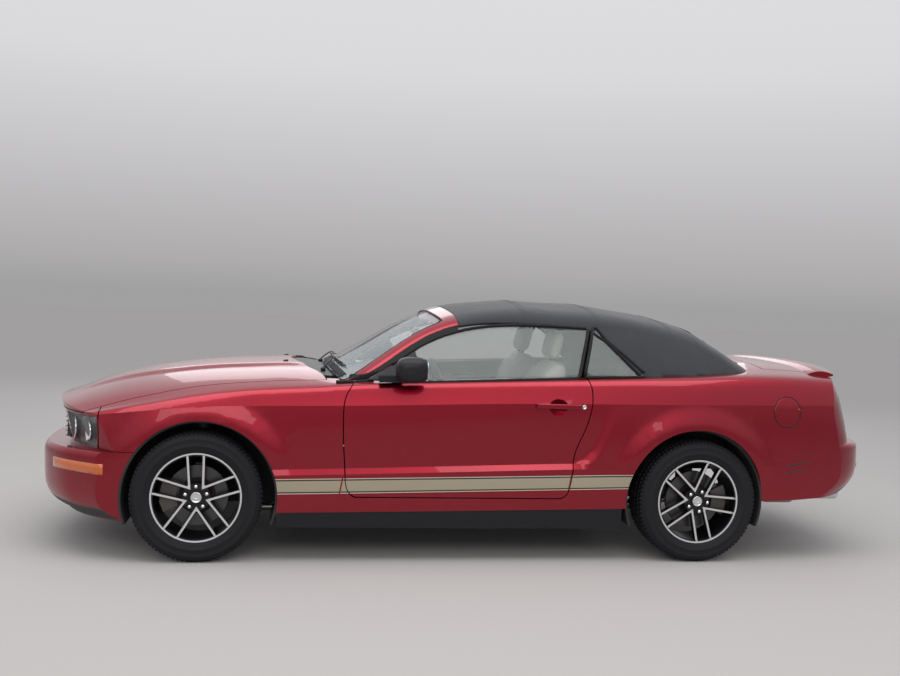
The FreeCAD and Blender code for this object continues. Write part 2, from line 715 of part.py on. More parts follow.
def roof_layer(near, far):
    """Thin layer under the glass and roof line, between two depths."""
    wires = []
    for share in roof_section_shares:
        a, b = roof_points(out(share), near), roof_points(out(share), far)
        wires.append(Part.Wire([spline(a), line(a[-1], b[-1]), spline(b[::-1]), line(b[0], a[0])]))
    return Part.makeLoft(wires, True, False)


def house_form(inset):
    """The whole upper body as one solid, with rounded shoulders."""
    whole = net_solid([house_outline(along(s), inset) for s in shell_station_shares], shell_station_shares)
    return whole.common(box(nose_x, -nose_x, -out(1.2), out(1.2), up(house_base_share), up(1.1)))


def tilted_box(length, width, height, base, pitch):
    """Box centred across on base, turned about the cross axis; x runs along its length."""
    made = Part.makeBox(length, width, height, Vector(0, -width / 2, 0))
    made.rotate(Vector(0, 0, 0), Vector(0, 1, 0), pitch)
    made.translate(base)
    return made


def rounded(shape, radius, pick=None):
    """Fillet all edges, or those that pick accepts; the plain shape is kept if the rounding fails."""
    edges = [e for e in shape.Edges if pick is None or pick(e)]
    try:
        made = shape.makeFillet(radius, edges)
    except Exception:
        return shape
    return made if made.isValid() and made.Volume > 0 else shape


def keep(name, shape, store):
    solids = shape.Solids
    store[name] = solids[0] if len(solids) == 1 else Part.makeCompound(solids)



# Lower body panels.
trunk_lid_low_share = 0.6799
lamp_zone_shares = ((-1.0, -0.5742), (0.5924, 0.8737), (0.4042, 0.5216))
grille_zone_shares = ((-1.0, -0.7191), (-0.5381, 0.5381), (0.4134, 0.5244))
intake_zone_shares = ((-1.0, -0.6742), (-0.3516, 0.3516), (0.1852, 0.2488))
marker_zone_shares = ((-0.8876, -0.5281), (0.65, 0.9377), (0.3152, 0.3534))
tail_lamp_shares = ((0.4347, 0.5242), (0.5413, 0.6308), (0.6478, 0.7373))
tail_lamp_height_shares = (0.5244, 0.6686)
door_fold_share = 0.8588
handle_centre_shares = (0.6971, 0.6042)
handle_side_share = 0.9664
handle_length = 250.0
handle_grip = 26.0
handle_cup_radius = 50.0
handle_cup_depth = 16.0
plate_zone_shares = ((1.9887, 2.0563), (-0.1811, 0.1811), (0.3216, 0.4283))
plate_hole_spacing = 178.0
plate_hole_radius = 3.4
plate_hole_rise_share = 0.4085
sill_place_shares = (0.1522, 0.839)
sill_inset = 8.0
sill_depth = 70.0
well_shares = ((0.2544, 0.7587), (1.1991, 0.7587), (1.2857, 0.6819), (1.3463, 0.4688), (1.3688, 0.0))
cowl_side_share = 0.6287
cowl_sink = 14.0
hinge_pillar_share = 0.2353
rocker_seam_share = 0.2875
wall_end_share = 1.0346
door_slot_floor_share = 0.6572
glass_front_shares = ((0.3548, 0.5654), (0.3548, 0.9894), (0.7904, 0.9894), (0.7765, 0.8898),
                      (0.7474, 0.7088),
                      (0.7316, 0.5654))
quarter_glass_shares = ((0.7522, 0.6784), (0.7801, 0.8792), (0.7801, 0.9456), (0.8132, 0.8565),
                        (0.8544, 0.7908), (0.8912, 0.7265), (0.8938, 0.6784))
side_opening_shares = ((0.2206, 0.6007), (0.2206, 0.9894), (0.7647, 0.9894), (0.8132, 0.8565),
                       (0.8544, 0.7908), (0.8912, 0.7265), (0.8971, 0.6007))
rail_drop = 56.0
header_curve_shares = ((0.4926, 0.0), (0.4949, 0.3197), (0.5022, 0.5967), (0.5044, 0.7032))
screen_top_curve_shares = ((0.4654, 0.0), (0.4676, 0.3197), (0.475, 0.5967), (0.4772, 0.7032))
pillar_width = 46.0
frame_depth = 58.0
screen_sink = 8.0
frame_front_share = 0.2537
pillar_foot_share = 0.2838
rear_glass_zone_shares = ((1.0693, 1.2926), (-0.5008, 0.5008), (0.7067, 0.9894))
glass_edge = 6.0


def make_body(store):
    form = body_form(0.0)
    hollow = body_form(skin_thickness)
    openings = arches(arch_radius, out(arch_inner_share), out(1.2))
    shell = form.cut(hollow).cut(openings)
    deep = body_loft(door_thickness)
    wide_y, top = out(1.2), up(1.1)
    half = shut_gap / 2
    right = box(nose_x - overrun, -nose_x + overrun, 0, wide_y, 0, top)

    hood_zone = plan_curve_prism(hood_rear_shares, nose_x - overrun, 0, top, -half)
    side_y = out(hood_side_share)
    lip_z = up(hood_front_height_share)
    hood_zone = hood_zone.common(box(nose_x - overrun, along(0.5), half - side_y, side_y - half, lip_z,
                                     top))
    store["hood"] = biggest(shell.common(hood_zone))
    hood_gap = plan_curve_prism(hood_rear_shares, nose_x - overrun, 0, top, half)
    hood_gap = hood_gap.common(box(nose_x - overrun, along(0.5), -half - side_y, side_y + half,
                                   lip_z - shut_gap, top))

    rocker = side_prism(((0.0735, 0.0707), (0.0735, 0.1845)) + rocker_top_shares + ((0.864, 0.0707),),
                        -wide_y,
                        wide_y)
    door_gap = door_outline(-half, out(0.5), wide_y)
    well = plan_prism(well_shares + tuple((a, -b) for a, b in reversed(well_shares)), up(0.4), top)

    # Doors: an outer skin with the whole outline, and a thick inner part set in all round.
    door_zone = box(along(0.15), along(0.85), out(cabin_side_share), wide_y, up(0.15), top)
    fold_y = out(door_fold_share)
    outline = fuse(door_outline(half, fold_y, wide_y), door_outline(door_fold_step, out(0.5), fold_y))
    outer = biggest(shell.common(door_zone).common(outline))
    trim = body_loft(skin_thickness).common(door_zone).cut(deep.common(door_zone))
    trim = biggest(trim.common(door_outline(door_inner_step, out(0.5), wide_y)))
    x, z = along(handle_centre_shares[0]), up(handle_centre_shares[1])
    y = out(handle_side_share)
    cup = (handle_cup_radius ** 2 + handle_cup_depth ** 2) / (2 * handle_cup_depth)
    outer = outer.cut(Part.makeSphere(cup, Vector(x, y + cup - handle_cup_depth, z)))
    half_length, grip = handle_length / 2, handle_grip
    bar = rounded(box(x - half_length, x + half_length, y + 1.1 * grip - grip / 2, y + 1.1 * grip,
                      z - grip / 2,
                      z + grip / 2), 0.2 * grip)
    feet = [box(x + side * half_length - grip * (1 + side) / 2,
                x + side * half_length + grip * (1 - side) / 2,
                y - 0.6 * grip, y + 0.8 * grip, z - 0.35 * grip, z + 0.35 * grip) for side in (-1, 1)]
    door = fuse(outer, trim, bar, *feet)
    slot = side_layer(glass_gap, glass_thickness + glass_gap)
    slot = slot.common(box(along(0.2), along(0.9), out(0.5), wide_y, up(door_slot_floor_share), top))
    door = biggest(door.cut(slot))
    store["door_right"] = door
    store["door_left"] = mirrored(door)

    # Front wings: skin from the lamp to the door, above the bumper and the sill.
    arch_x = along(arch_place_shares[0][0])
    wing_zone = box(along(fender_front_share) + half, along(0.3676), out(cabin_side_share), wide_y,
                    up(0.15), top)
    bumper_zone = box(nose_x - overrun, arch_x, -wide_y, wide_y, 0, up(bumper_top_share))
    bumper_gap = box(nose_x - overrun, arch_x, -wide_y, wide_y, 0, up(bumper_top_share) + half)
    pillar_rear = along(rocker_seam_share)
    wing = shell.common(wing_zone).cut([hood_gap, door_gap, rocker, bumper_gap])
    wing = biggest(wing.common(box(nose_x, along(0.3199), 0, wide_y, 0, top)).cut(
        box(pillar_rear, along(0.3309), 0, wide_y, 0, up(0.2968))))
    store["front_fenders"] = both(wing)

    # Front bumper cover with the surround of lamps and grille.
    nose_zone = box(nose_x - overrun, along(fender_front_share) - half, -wide_y, wide_y, 0, top)
    cover = shell.common(fuse(nose_zone, bumper_zone)).cut([hood_gap, rocker])
    lamp, grille, intake, marker = [share_box(s) for s in (lamp_zone_shares, grille_zone_shares,
                                                          intake_zone_shares, marker_zone_shares)]
    lamps = [lamp, mirrored(lamp)]
    markers = [marker, mirrored(marker)]
    store["front_bumper"] = biggest(cover.cut(lamps + markers + [grille, intake]))
    glass = [biggest(shell.common(shape)) for shape in lamps[:1] + markers[:1]]
    store["front_lamps"] = Part.makeCompound(glass + [mirrored(piece) for piece in glass])

    # Cowl between hood and windscreen.
    cowl = body_loft(cowl_sink).cut(body_loft(cowl_sink + skin_thickness))
    behind = box(along(0.1), along(0.2574), -out(cowl_side_share), out(cowl_side_share), up(0.5), top)
    store["cowl"] = biggest(cowl.common(behind).cut(hood_gap))

    # Rear quarters, sills, deck and tail panel: one piece with both sides.
    lid_x = along(trunk_front_share)
    lid_y = out(trunk_side_share)
    face_y = out(trunk_face_share)
    low_z = up(trunk_lid_low_share)
    base_z = up(trunk_base_share)
    end = -nose_x + overrun

    def lid_zone(grow):
        upper = box(lid_x - grow, end, -lid_y - grow, lid_y + grow, low_z - grow, top)
        face = box(along(1.6753), end, -face_y - grow, face_y + grow, base_z - grow, low_z + shut_gap)
        return fuse(upper, face)

    store["trunk_lid"] = biggest(shell.common(lid_zone(-half)))
    rear_cover_zone = side_prism(quarter_bumper_shares, -wide_y, wide_y)
    tail_z0, tail_z1 = up(tail_lamp_height_shares[0]), up(tail_lamp_height_shares[1])
    lamp_boxes = [box(along(1.5022), end, out(a), out(b), tail_z0, tail_z1) for a, b in tail_lamp_shares]
    lamp_boxes += [mirrored(b) for b in lamp_boxes]
    lenses = [biggest(shell.common(b)) for b in lamp_boxes[:len(tail_lamp_shares)]]
    store["tail_lights"] = Part.makeCompound(lenses + [mirrored(piece) for piece in lenses])

    rear_start = along(wall_end_share)
    cabin_y = out(cabin_side_share)
    side_zone = box(along(hinge_pillar_share), rear_start, cabin_y, wide_y, up(0.1), top)
    wall = form.common(side_zone).cut(deep.common(side_zone)).cut(openings[0::2])
    wing_part = shell.common(box(along(hinge_pillar_share), along(0.3676), cabin_y, wide_y, up(0.1), top))
    wing_part = wing_part.cut(box(pillar_rear, along(0.3676), cabin_y, wide_y, 0, up(0.2968)))
    wall = wall.cut([wing_part, door_gap])
    rear_zone = box(rear_start, end, 0, wide_y, up(0.1), top)
    rear = shell.common(rear_zone).cut([lid_zone(half),
                                        rear_cover_zone] + lamp_boxes[:len(tail_lamp_shares)])
    side = biggest(wall.fuse(rear).cut([rocker, well]))
    store["body_sides"] = side.fuse(mirrored(side))

    plate = share_box(plate_zone_shares)
    cover = shell.common(rear_cover_zone).common(box(along(1.0693), end, -wide_y, wide_y, up(0.1),
                                                     up(rear_bumper_top_share) + half))
    cover = biggest(cover.cut(side_prism(rear_bumper_low_shares, -wide_y, wide_y)))
    holes = [cylinder_x(side * plate_hole_spacing / 2, up(plate_hole_rise_share), plate_hole_radius,
                        along(1.9351),
                        end) for side in (-1, 1)]
    store["rear_bumper"] = biggest(cover.cut(plate)).cut(holes)

    x0, x1 = (along(a) for a in sill_place_shares)
    strip = body_loft(sill_inset).cut(body_loft(sill_inset + sill_depth))
    strip = strip.common(rocker).common(box(x0, x1, out(0.5), wide_y, 0, top))
    store["sill_trims"] = both(biggest(strip))
    return form


def make_house(store, form):
    top = up(1.1)
    wide_y = out(1.2)
    header = plan_curve_prism(header_curve_shares, along(0.1), 0, top)
    behind = plan_curve_prism(header_curve_shares, along(1.9), 0, top, seat_gap)
    screen_front = plan_curve_prism(screen_top_curve_shares, along(0.1), 0, top)
    start = box(along(frame_front_share), along(0.6), -wide_y, wide_y, up(0.5), top)
    band = roof_layer(0.0, frame_depth).common(start).common(house_form(0.0)).common(header)
    top_zone = form.common(box(along(0.15), along(1.6), -wide_y, wide_y, up(0.55), top))
    raised = top_zone.copy()
    raised.translate(Vector(0, 0, pillar_foot_gap))
    over_door = box(along(pillar_foot_share), along(0.6), -wide_y, wide_y, up(0.5), top)
    frame = band.cut(house_sides(pillar_width).common(screen_front)).cut([top_zone,
                                                                          raised.common(over_door)])
    store["windshield_frame"] = biggest(frame)
    screen = roof_layer(screen_sink, screen_sink + glass_thickness)
    screen = screen.common(box(along(0.2), along(0.6), -wide_y, wide_y, up(0.6),
                               top)).common(house_sides(pillar_width + seat_gap)).common(screen_front)
    store["windshield"] = biggest(screen.cut(top_zone))

    shell = house_form(0.0)
    cloth = shell.cut(house_form(top_thickness))
    cloth = cloth.common(behind).cut(top_zone)
    gap = side_prism(side_opening_shares, -wide_y, wide_y).common(roof_form(rail_drop))
    rear_zone = share_box(rear_glass_zone_shares)
    store["soft_top"] = biggest(cloth.cut([gap, rear_zone]))

    layer = side_layer(glass_gap, glass_gap + glass_thickness)
    side = side_prism(glass_front_shares, out(0.3), wide_y)
    pane = layer.common(side).common(box(along(0.2), along(0.9), out(0.3), wide_y,
                                         up(door_slot_floor_share) + glass_edge, top))
    pane = pane.common(roof_form(rail_drop + glass_edge))
    store["door_glass_right"] = biggest(pane)
    store["door_glass_left"] = mirrored(store["door_glass_right"])
    quarter = layer.common(side_prism(quarter_glass_shares, out(0.3), wide_y)).common(roof_form(rail_drop))
    quarter = biggest(quarter.cut(top_zone))
    backlight = roof_layer(glass_gap, glass_gap + glass_thickness)
    zone = share_box(rear_glass_zone_shares)
    inner = box(zone.BoundBox.XMin + seat_gap, zone.BoundBox.XMax - seat_gap, zone.BoundBox.YMin + seat_gap,
                zone.BoundBox.YMax - seat_gap, zone.BoundBox.ZMin, zone.BoundBox.ZMax)
    store["rear_glass"] = Part.makeCompound([quarter, mirrored(quarter), biggest(backlight.common(inner))])



# Wheels: one profile turned about the cross axis, and five pairs of split spokes.
spoke_angle_shares = (0.25, 0.0708)
spoke_radius_shares = (0.27, 0.955)
front_turn_share = 0.0056
rear_turn_share = 0.1333
face_inset_share = 0.10
brake_place_share = 0.03


def turned(profile, centre):
    """Ring turned about the cross axis from (radius, side) points."""
    points = [Vector(0, w, r) for r, w in profile]
    face = Part.Face(Part.makePolygon(points + [points[0]]))
    ring = face.revolve(Vector(0, 0, 0), Vector(0, 1, 0), 360)
    ring.translate(centre)
    return ring


def polar(radius, turn):
    angle = turn * 2 * math.pi
    return radius * math.cos(angle), radius * math.sin(angle)


def make_tyre(centre):
    w, r = tyre_width / 2, tyre_radius
    profile = [(bead_radius, -0.71 * w), (0.5 * (bead_radius + r), -w), (0.968 * r, -0.90 * w),
               (r, -0.70 * w),
               (r, 0.70 * w), (0.968 * r, 0.90 * w), (0.5 * (bead_radius + r), w), (bead_radius, 0.71 * w)]
    return turned(profile, centre)


def make_rim(centre, turn):
    """Barrel, hub pad, cap, nuts and spokes; the outer face looks towards +Y."""
    w = rim_width / 2
    t = barrel_thickness
    outer = bead_radius - seat_gap
    barrel = turned([(rim_radius, w), (rim_radius, w - t), (outer, w - 2 * t), (outer, 2 * t - w),
                     (rim_radius, t - w), (rim_radius, -w), (outer - t, -w), (outer - t,
                                                                              w - 0.4 * t)],
                                                                              Vector(0, 0, 0))
    face_y = w * (1 - 2 * face_inset_share)
    hub = cylinder_y(0, 0, hub_radius, face_y - hub_depth, face_y)
    cap = cylinder_y(0, 0, hub_cap_radius, face_y, face_y + 0.3 * hub_cap_radius)
    parts = [hub, cap]
    for k in range(5):
        middle = spoke_angle_shares[0] * -1 + turn + k / 5
        for side in (-1, 1):
            ax, az = polar(hub_radius * 0.9, middle + side * 0.006)
            bx, bz = polar(outer - 0.5 * t, middle + side * spoke_angle_shares[1])
            start, stop = Vector(ax, face_y, az), Vector(bx, w - 0.9 * t, bz)
            run = Vector(bx - ax, 0, bz - az)
            across = Vector(run.z, 0, -run.x).normalize() * (spoke_width / 2)
            low = Vector(0, -spoke_depth, 0)
            a = Part.makePolygon([start + across, start - across, start - across + low,
                                  start + across + low,
                                  start + across])
            b = Part.makePolygon([stop + across * 0.85, stop - across * 0.85, stop - across * 0.85 + low,
                                  stop + across * 0.85 + low, stop + across * 0.85])
            parts.append(Part.makeLoft([a, b], True, True))
        nx, nz = polar(wheel_nut_circle, middle + 0.1)
        parts.append(cylinder_y(nx, nz, wheel_nut_radius, face_y, face_y + wheel_nut_radius))
    trim = cylinder_y(0, 0, outer - 0.4 * t, -w, w)
    spokes = fuse(parts[0], *parts[1:]).common(trim)
    rim = fuse(barrel, spokes)
    bore = cylinder_y(0, 0, axle_end_radius + clearance, -w, face_y - 0.4 * hub_depth)
    rim = biggest(rim.cut(bore))
    rim.translate(centre)
    return rim


axle_end_radius = 22.0
clearance = 2.0
backing_radius = 120.0


def make_disc(centre):
    """Brake disc with its hat, against the back of the hub pad."""
    w = rim_width / 2
    back = w * (1 - 2 * face_inset_share) - hub_depth
    hat_depth = back
    t = 0.25 * disc_thickness
    bore = axle_end_radius + clearance
    profile = [(bore, back), (hub_radius, back), (hub_radius, back - hat_depth + disc_thickness),
               (disc_radius, back - hat_depth + disc_thickness), (disc_radius, back - hat_depth),
               (hub_radius - t, back - hat_depth), (hub_radius - t, back - t), (bore, back - t)]
    return turned(profile, centre)


def wheel_centres():
    front = Vector(front_axle_x, front_track / 2, tyre_radius)
    rear = Vector(rear_axle_x, rear_track / 2, tyre_radius)
    return front, rear


def make_wheels(store):
    front, rear = wheel_centres()
    for name, centre, turn in (("front", front, front_turn_share), ("rear", rear, rear_turn_share)):
        tyre, rim, disc = make_tyre(centre), make_rim(centre, turn), make_disc(centre)
        for side in ("right", "left"):
            for piece, shape in (("tyre", tyre), ("rim", rim), ("disc", disc)):
                store[piece + "_" + name + "_" + side] = shape if side == "right" else mirrored(shape)


# Knuckles, arms, axle and the rest of the running gear.
caliper_span_share = 0.075
disc_gap = 4.0
knuckle_height = 272.0
knuckle_width = 36.0
arm_length_share = 0.3516
arm_rise = 26.0
damper_radius = 34.0
spring_radius = 50.0
damper_inset_share = 0.6031
subframe_shares = ((-0.1011, 0.0331), (-0.3516, 0.3516), (0.1385, 0.1753))
rack_shares = ((-0.1966, -0.1517), (-0.4475, 0.4475), (0.1569, 0.1823))
arm_end_width = 34.0


def caliper(centre, turn):
    """Caliper straddling the disc, its middle at turn."""
    w = rim_width / 2
    back = w * (1 - 2 * face_inset_share) - hub_depth
    inner = 0.0
    y0, y1 = inner - disc_gap - 0.8 * disc_thickness, inner + disc_thickness + disc_gap + 0.5 * disc_thickness
    ring = cylinder_y(0, 0, 1.19 * disc_radius, y0, y1).cut(cylinder_y(0, 0, 0.66 * disc_radius, y0, y1))
    slot = cylinder_y(0, 0, disc_radius + disc_gap, inner - disc_gap, inner + disc_thickness + disc_gap)
    r = 2 * disc_radius
    a, b = polar(r, turn - caliper_span_share), polar(r, turn + caliper_span_share)
    wedge = polygon_prism([Vector(0, y0, 0), Vector(a[0], y0, a[1]), Vector(b[0], y0, b[1])],
                          Vector(0, y1 - y0, 0))
    made = biggest(ring.cut(slot).common(wedge))
    plate = cylinder_y(0, 0, backing_radius, y0, y0 + 0.3 * disc_thickness)
    made = fuse(made, plate)
    made.translate(centre)
    return made, y0


def make_running_gear(store):
    front, rear = wheel_centres()
    w = rim_width / 2
    face_y = w * (1 - 2 * face_inset_share)
    tip = face_y - 0.4 * hub_depth - clearance
    body, y0 = caliper(front, 0.5)
    pin_y = front.y - kingpin_inset
    h = knuckle_height / 2
    k = knuckle_width / 2
    upright = box(front.x - k, front.x + k, pin_y - k, front.y + y0 + 0.1 * disc_thickness, front.z - h + k,
                  front.z + h - k)
    balls = [Part.makeSphere(ball_radius, Vector(front.x, pin_y, front.z - h + k)),
             Part.makeSphere(ball_radius, Vector(front.x, pin_y, front.z + h - k))]
    spindle = cylinder_y(front.x, front.z, axle_end_radius, pin_y, front.y + tip)
    knuckle = fuse(body, upright, spindle, *balls)
    store["knuckle_right"] = knuckle
    store["knuckle_left"] = mirrored(knuckle)

    arms = []
    gap = ball_radius + seat_gap
    for z, lift in ((front.z - h + k - gap - arm_rise / 2, 1), (front.z + h - k + gap + arm_rise / 2, -1)):
        inner_y = out(arm_length_share) if lift > 0 else out(0.5328)
        a, b = arm_rise / 2, arm_end_width / 2
        arms.append(polygon_prism([Vector(front.x - 3 * b, inner_y, z - a),
                                   Vector(front.x + 3 * b, inner_y, z - a),
                                   Vector(front.x + b, pin_y + 0.2 * b, z - a),
                                   Vector(front.x - b, pin_y + 0.2 * b, z - a)],
                                  Vector(0, 0, 2 * a)))
    low_z = front.z - h + k - gap
    arch_x, arch_z = along(arch_place_shares[0][0]), up(arch_place_shares[0][1])
    strut_y = out(damper_inset_share)
    roof_z = arch_z + arch_radius - liner_thickness - 2 * clearance
    strut = cylinder_z(front.x, strut_y, damper_radius, low_z - arm_rise / 2, roof_z)
    spring = cylinder_z(front.x, strut_y, spring_radius, front.z + 0.3 * h, roof_z - 2 * clearance)
    link = box(front.x - arm_end_width, front.x + arm_end_width, out(arm_length_share) - arm_rise,
               out(arm_length_share) + arm_rise, low_z - arm_rise, low_z)
    right = fuse(arms[0], strut, spring, link, arms[1])
    beam = share_box(subframe_shares)
    rack = share_box(rack_shares)
    store["front_suspension"] = Part.makeCompound(
        [fuse(beam, box(along(-0.1966), along(-0.0899), -k, k, up(0.159), up(0.1753)), rack, right,
              mirrored(right))])

    tube = cylinder_y(rear.x, rear.z, axle_tube_radius, -rear.y - y0, rear.y + y0)
    ends = cylinder_y(rear.x, rear.z, axle_end_radius, -rear.y - tip, rear.y + tip)
    housing = Part.makeSphere(3.2 * axle_tube_radius, Vector(rear.x, 0, rear.z))
    nose = cylinder_x(0, rear.z, 1.6 * axle_tube_radius, rear.x - 5 * axle_tube_radius, rear.x)
    rear_caliper = caliper(rear, 0.0)[0]
    coil = cylinder_z(rear.x + 2 * axle_tube_radius, out(0.5115), spring_radius, rear.z - axle_tube_radius,
                      up(0.3378))
    seat = box(rear.x - axle_tube_radius, rear.x + 3 * axle_tube_radius, out(0.4688), out(0.5541),
               rear.z - 1.2 * axle_tube_radius, rear.z - 0.4 * axle_tube_radius)
    store["rear_axle"] = fuse(tube, ends, housing, nose, rear_caliper, mirrored(rear_caliper), coil,
                              mirrored(coil),
                              seat, mirrored(seat))


# Floor, engine and exhaust.
floor_zone_shares = ((0.2206, 0.8566), (-0.8311, 0.8311), (0.1385, 0.1527))
tunnel_shares = ((0.2206, 0.8566), (-0.1598, 0.1598), (0.1385, 0.2827))
firewall_shares = ((0.2151, 0.2224), (-0.8311, 0.8311), (0.1385, 0.6078))
rear_floor_shares = ((0.8493, 1.4502), (-0.666, 0.666), (0.3378, 0.3519))
heel_shares = ((0.8493, 0.8566), (-0.7459, 0.7459), (0.1385, 0.3519))
boot_floor_shares = ((1.4329, 1.7965), (-0.666, 0.666), (0.2855, 0.2996))
boot_step_shares = ((1.4329, 1.4502), (-0.666, 0.666), (0.2855, 0.3519))
bulkhead_shares = ((1.019, 1.0346), (-0.666, 0.666), (0.3378, 0.636))
apron_shares = ((-0.5618, 0.2224), (0.5072, 0.5264), (0.1696, 0.5583))
nose_panel_shares = ((-0.5843, -0.5573), (-0.5264, 0.5264), (0.1696, 0.4947))
rear_apron_shares = ((0.8566, 1.4502), (0.6468, 0.666), (0.3378, 0.5654))
plenum_shares = ((0.2224, 0.2574), (-0.7885, 0.7885), (0.5936, 0.6078))
pan_thickness = 20.0
pan_cut_shares = (0.2151, 0.8456)
engine_shares = ((-0.3708, 0.1213), (-0.2557, 0.2557), (0.1852, 0.5654))
gearbox_shares = ((0.1213, 0.3971), (-0.1279, 0.1279), (0.1625, 0.2629))
shaft_radius = 30.0
pipe_radius = 27.0
tail_pipe_radius = 34.0
pipe_y_share = -0.2504
pipe_z_share = 0.1131
muffler_shares = ((1.4762, 1.6667), (-0.5967, -0.1598), (0.1852, 0.2629))
tail_pipe_shares = (1.658, 1.8935, -0.5381, 0.2276)


def make_chassis(store):
    tunnel = share_box(tunnel_shares)
    t = pan_thickness
    b = tunnel.BoundBox
    inner = box(b.XMin - t, b.XMax + t, b.YMin + t, b.YMax - t, b.ZMin - t, b.ZMax - t)
    floor = share_box(floor_zone_shares)
    slabs = [share_box(s) for s in (firewall_shares, rear_floor_shares, heel_shares, boot_floor_shares,
                                    boot_step_shares, bulkhead_shares, nose_panel_shares, plenum_shares)]
    apron, rear_apron = share_box(apron_shares), share_box(rear_apron_shares)
    parts = slabs + [tunnel, apron, mirrored(apron), rear_apron, mirrored(rear_apron)]
    pan = fuse(floor, *parts).cut(inner)
    liners = []
    for (a, c), start in zip(arch_place_shares, (0.5264, 0.666)):
        x, z = along(a), up(c)
        y0, y1 = out(start), out(0.9483)
        r = arch_radius - seat_gap
        ring = cylinder_y(x, z, r, y0, y1).cut(cylinder_y(x, z, r - liner_thickness, y0, y1))
        ring = ring.common(box(x - 2 * r, x + 2 * r, y0, y1, z - 0.35 * r, z + 2 * r))
        liners += [ring, mirrored(ring)]
    pan = fuse(pan, *liners)
    front_x, rear_x = (along(a) for a in pan_cut_shares)
    far, wide = 2 * wheelbase, out(1.0)
    store["inner_wings"] = biggest(pan.common(box(-far, front_x, -wide, wide, 0, far)))
    store["floor_pan"] = biggest(pan.common(box(front_x, rear_x, -wide, wide, 0, far)))
    store["rear_floor"] = biggest(pan.common(box(rear_x, far, -wide, wide, 0, far)))

    engine = rounded(share_box(engine_shares), 3 * t)
    gearbox = rounded(share_box(gearbox_shares), 2 * t)
    g = gearbox.BoundBox
    shaft_z = (g.ZMin + g.ZMax) / 2
    start, stop = Vector(g.XMax - t, 0, shaft_z), Vector(rear_axle_x - 5 * axle_tube_radius - clearance, 0,
                                                         tyre_radius)
    shaft = Part.makeCylinder(shaft_radius, (stop - start).Length, start, stop - start)
    store["powertrain"] = fuse(engine, gearbox, shaft)

    y, z = out(pipe_y_share), up(pipe_z_share)
    pipe = cylinder_x(y, z, pipe_radius, along(0.0735), along(0.8897))
    rise0, rise1 = Vector(along(0.8824), y, z), Vector(along(1.5022), y, up(0.1852) + 2 * pipe_radius)
    rise = Part.makeCylinder(pipe_radius, (rise1 - rise0).Length, rise0, rise1 - rise0)
    muffler = rounded(share_box(muffler_shares), 1.5 * pipe_radius)
    x0, x1, ty, tz = tail_pipe_shares
    tail = cylinder_x(out(ty), up(tz), tail_pipe_radius, along(x0), along(x1))
    bore = cylinder_x(out(ty), up(tz), 0.86 * tail_pipe_radius, along(x0) + 2 * tail_pipe_radius, along(x1))
    store["exhaust"] = fuse(pipe, rise, muffler, tail).cut(bore)


# Cabin.
seat_base_shares = ((0.489, 0.6838), (0.1758, 0.666), (0.2438, 0.3958))
seat_side_y_share = 0.4209
seat_width_share = 0.4901
back_shares = (0.6489, 0.3534, 0.4382, 0.1385)
back_lean = 16.0
rest_shares = (0.7261, 0.7703, 0.106, 0.0959)
rear_base_shares = ((0.8419, 0.9559), (-0.5967, 0.5967), (0.3522, 0.4311))
rear_back_shares = (0.9412, 0.3816, 0.2827, 0.1172)
dash_outline_shares = ((0.2794, 0.4382), (0.2794, 0.6396), (0.3162, 0.6643), (0.3713, 0.6961),
                       (0.4118, 0.6855),
                       (0.4265, 0.636), (0.4081, 0.5512), (0.4007, 0.4382))
dash_half_share = 0.7459
console_shares = ((0.3971, 0.7169), (-0.1119, 0.1119), (0.2827, 0.424))
wheel_centre_shares = (0.4926, -0.4209, 0.6219)
wheel_pitch = 66.0
steering_radius = 186.0
steering_grip = 16.0
column_radius = 30.0
column_length_share = 0.0699
mirror_centre_shares = (0.4015, 0.7286)
mirror_half_length = 88.0
mirror_half_height = 68.0
mirror_section_shares = ((0.9185, 0.62), (0.9355, 0.84), (0.9643, 0.97), (1.0069, 1.0), (1.0442, 0.90),
                         (1.0655, 0.66),
                         (1.0762, 0.30))
mirror_glass_share = 0.4294
mirror_foot_shares = ((0.3401, 0.386), (0.8759, 0.9483), (0.677, 0.7011))
sail_shares = ((0.3191, 0.6678), (0.3537, 0.6678), (0.3537, 0.7435), (0.3327, 0.7102))
spoiler_front_shares = ((1.6563, 0.0), (1.6511, 0.3197), (1.6372, 0.586), (1.6234, 0.7352))
spoiler_rear_shares = ((1.8242, 0.0), (1.819, 0.3197), (1.8, 0.586), (1.7688, 0.7352))
spoiler_height_shares = (0.759, 0.7576, 0.7477, 0.7322)
spoiler_thickness = 34.0
pedestal_shares = ((1.6753, 1.7619), (0.3516, 0.4049), (0.735, 0.7633))


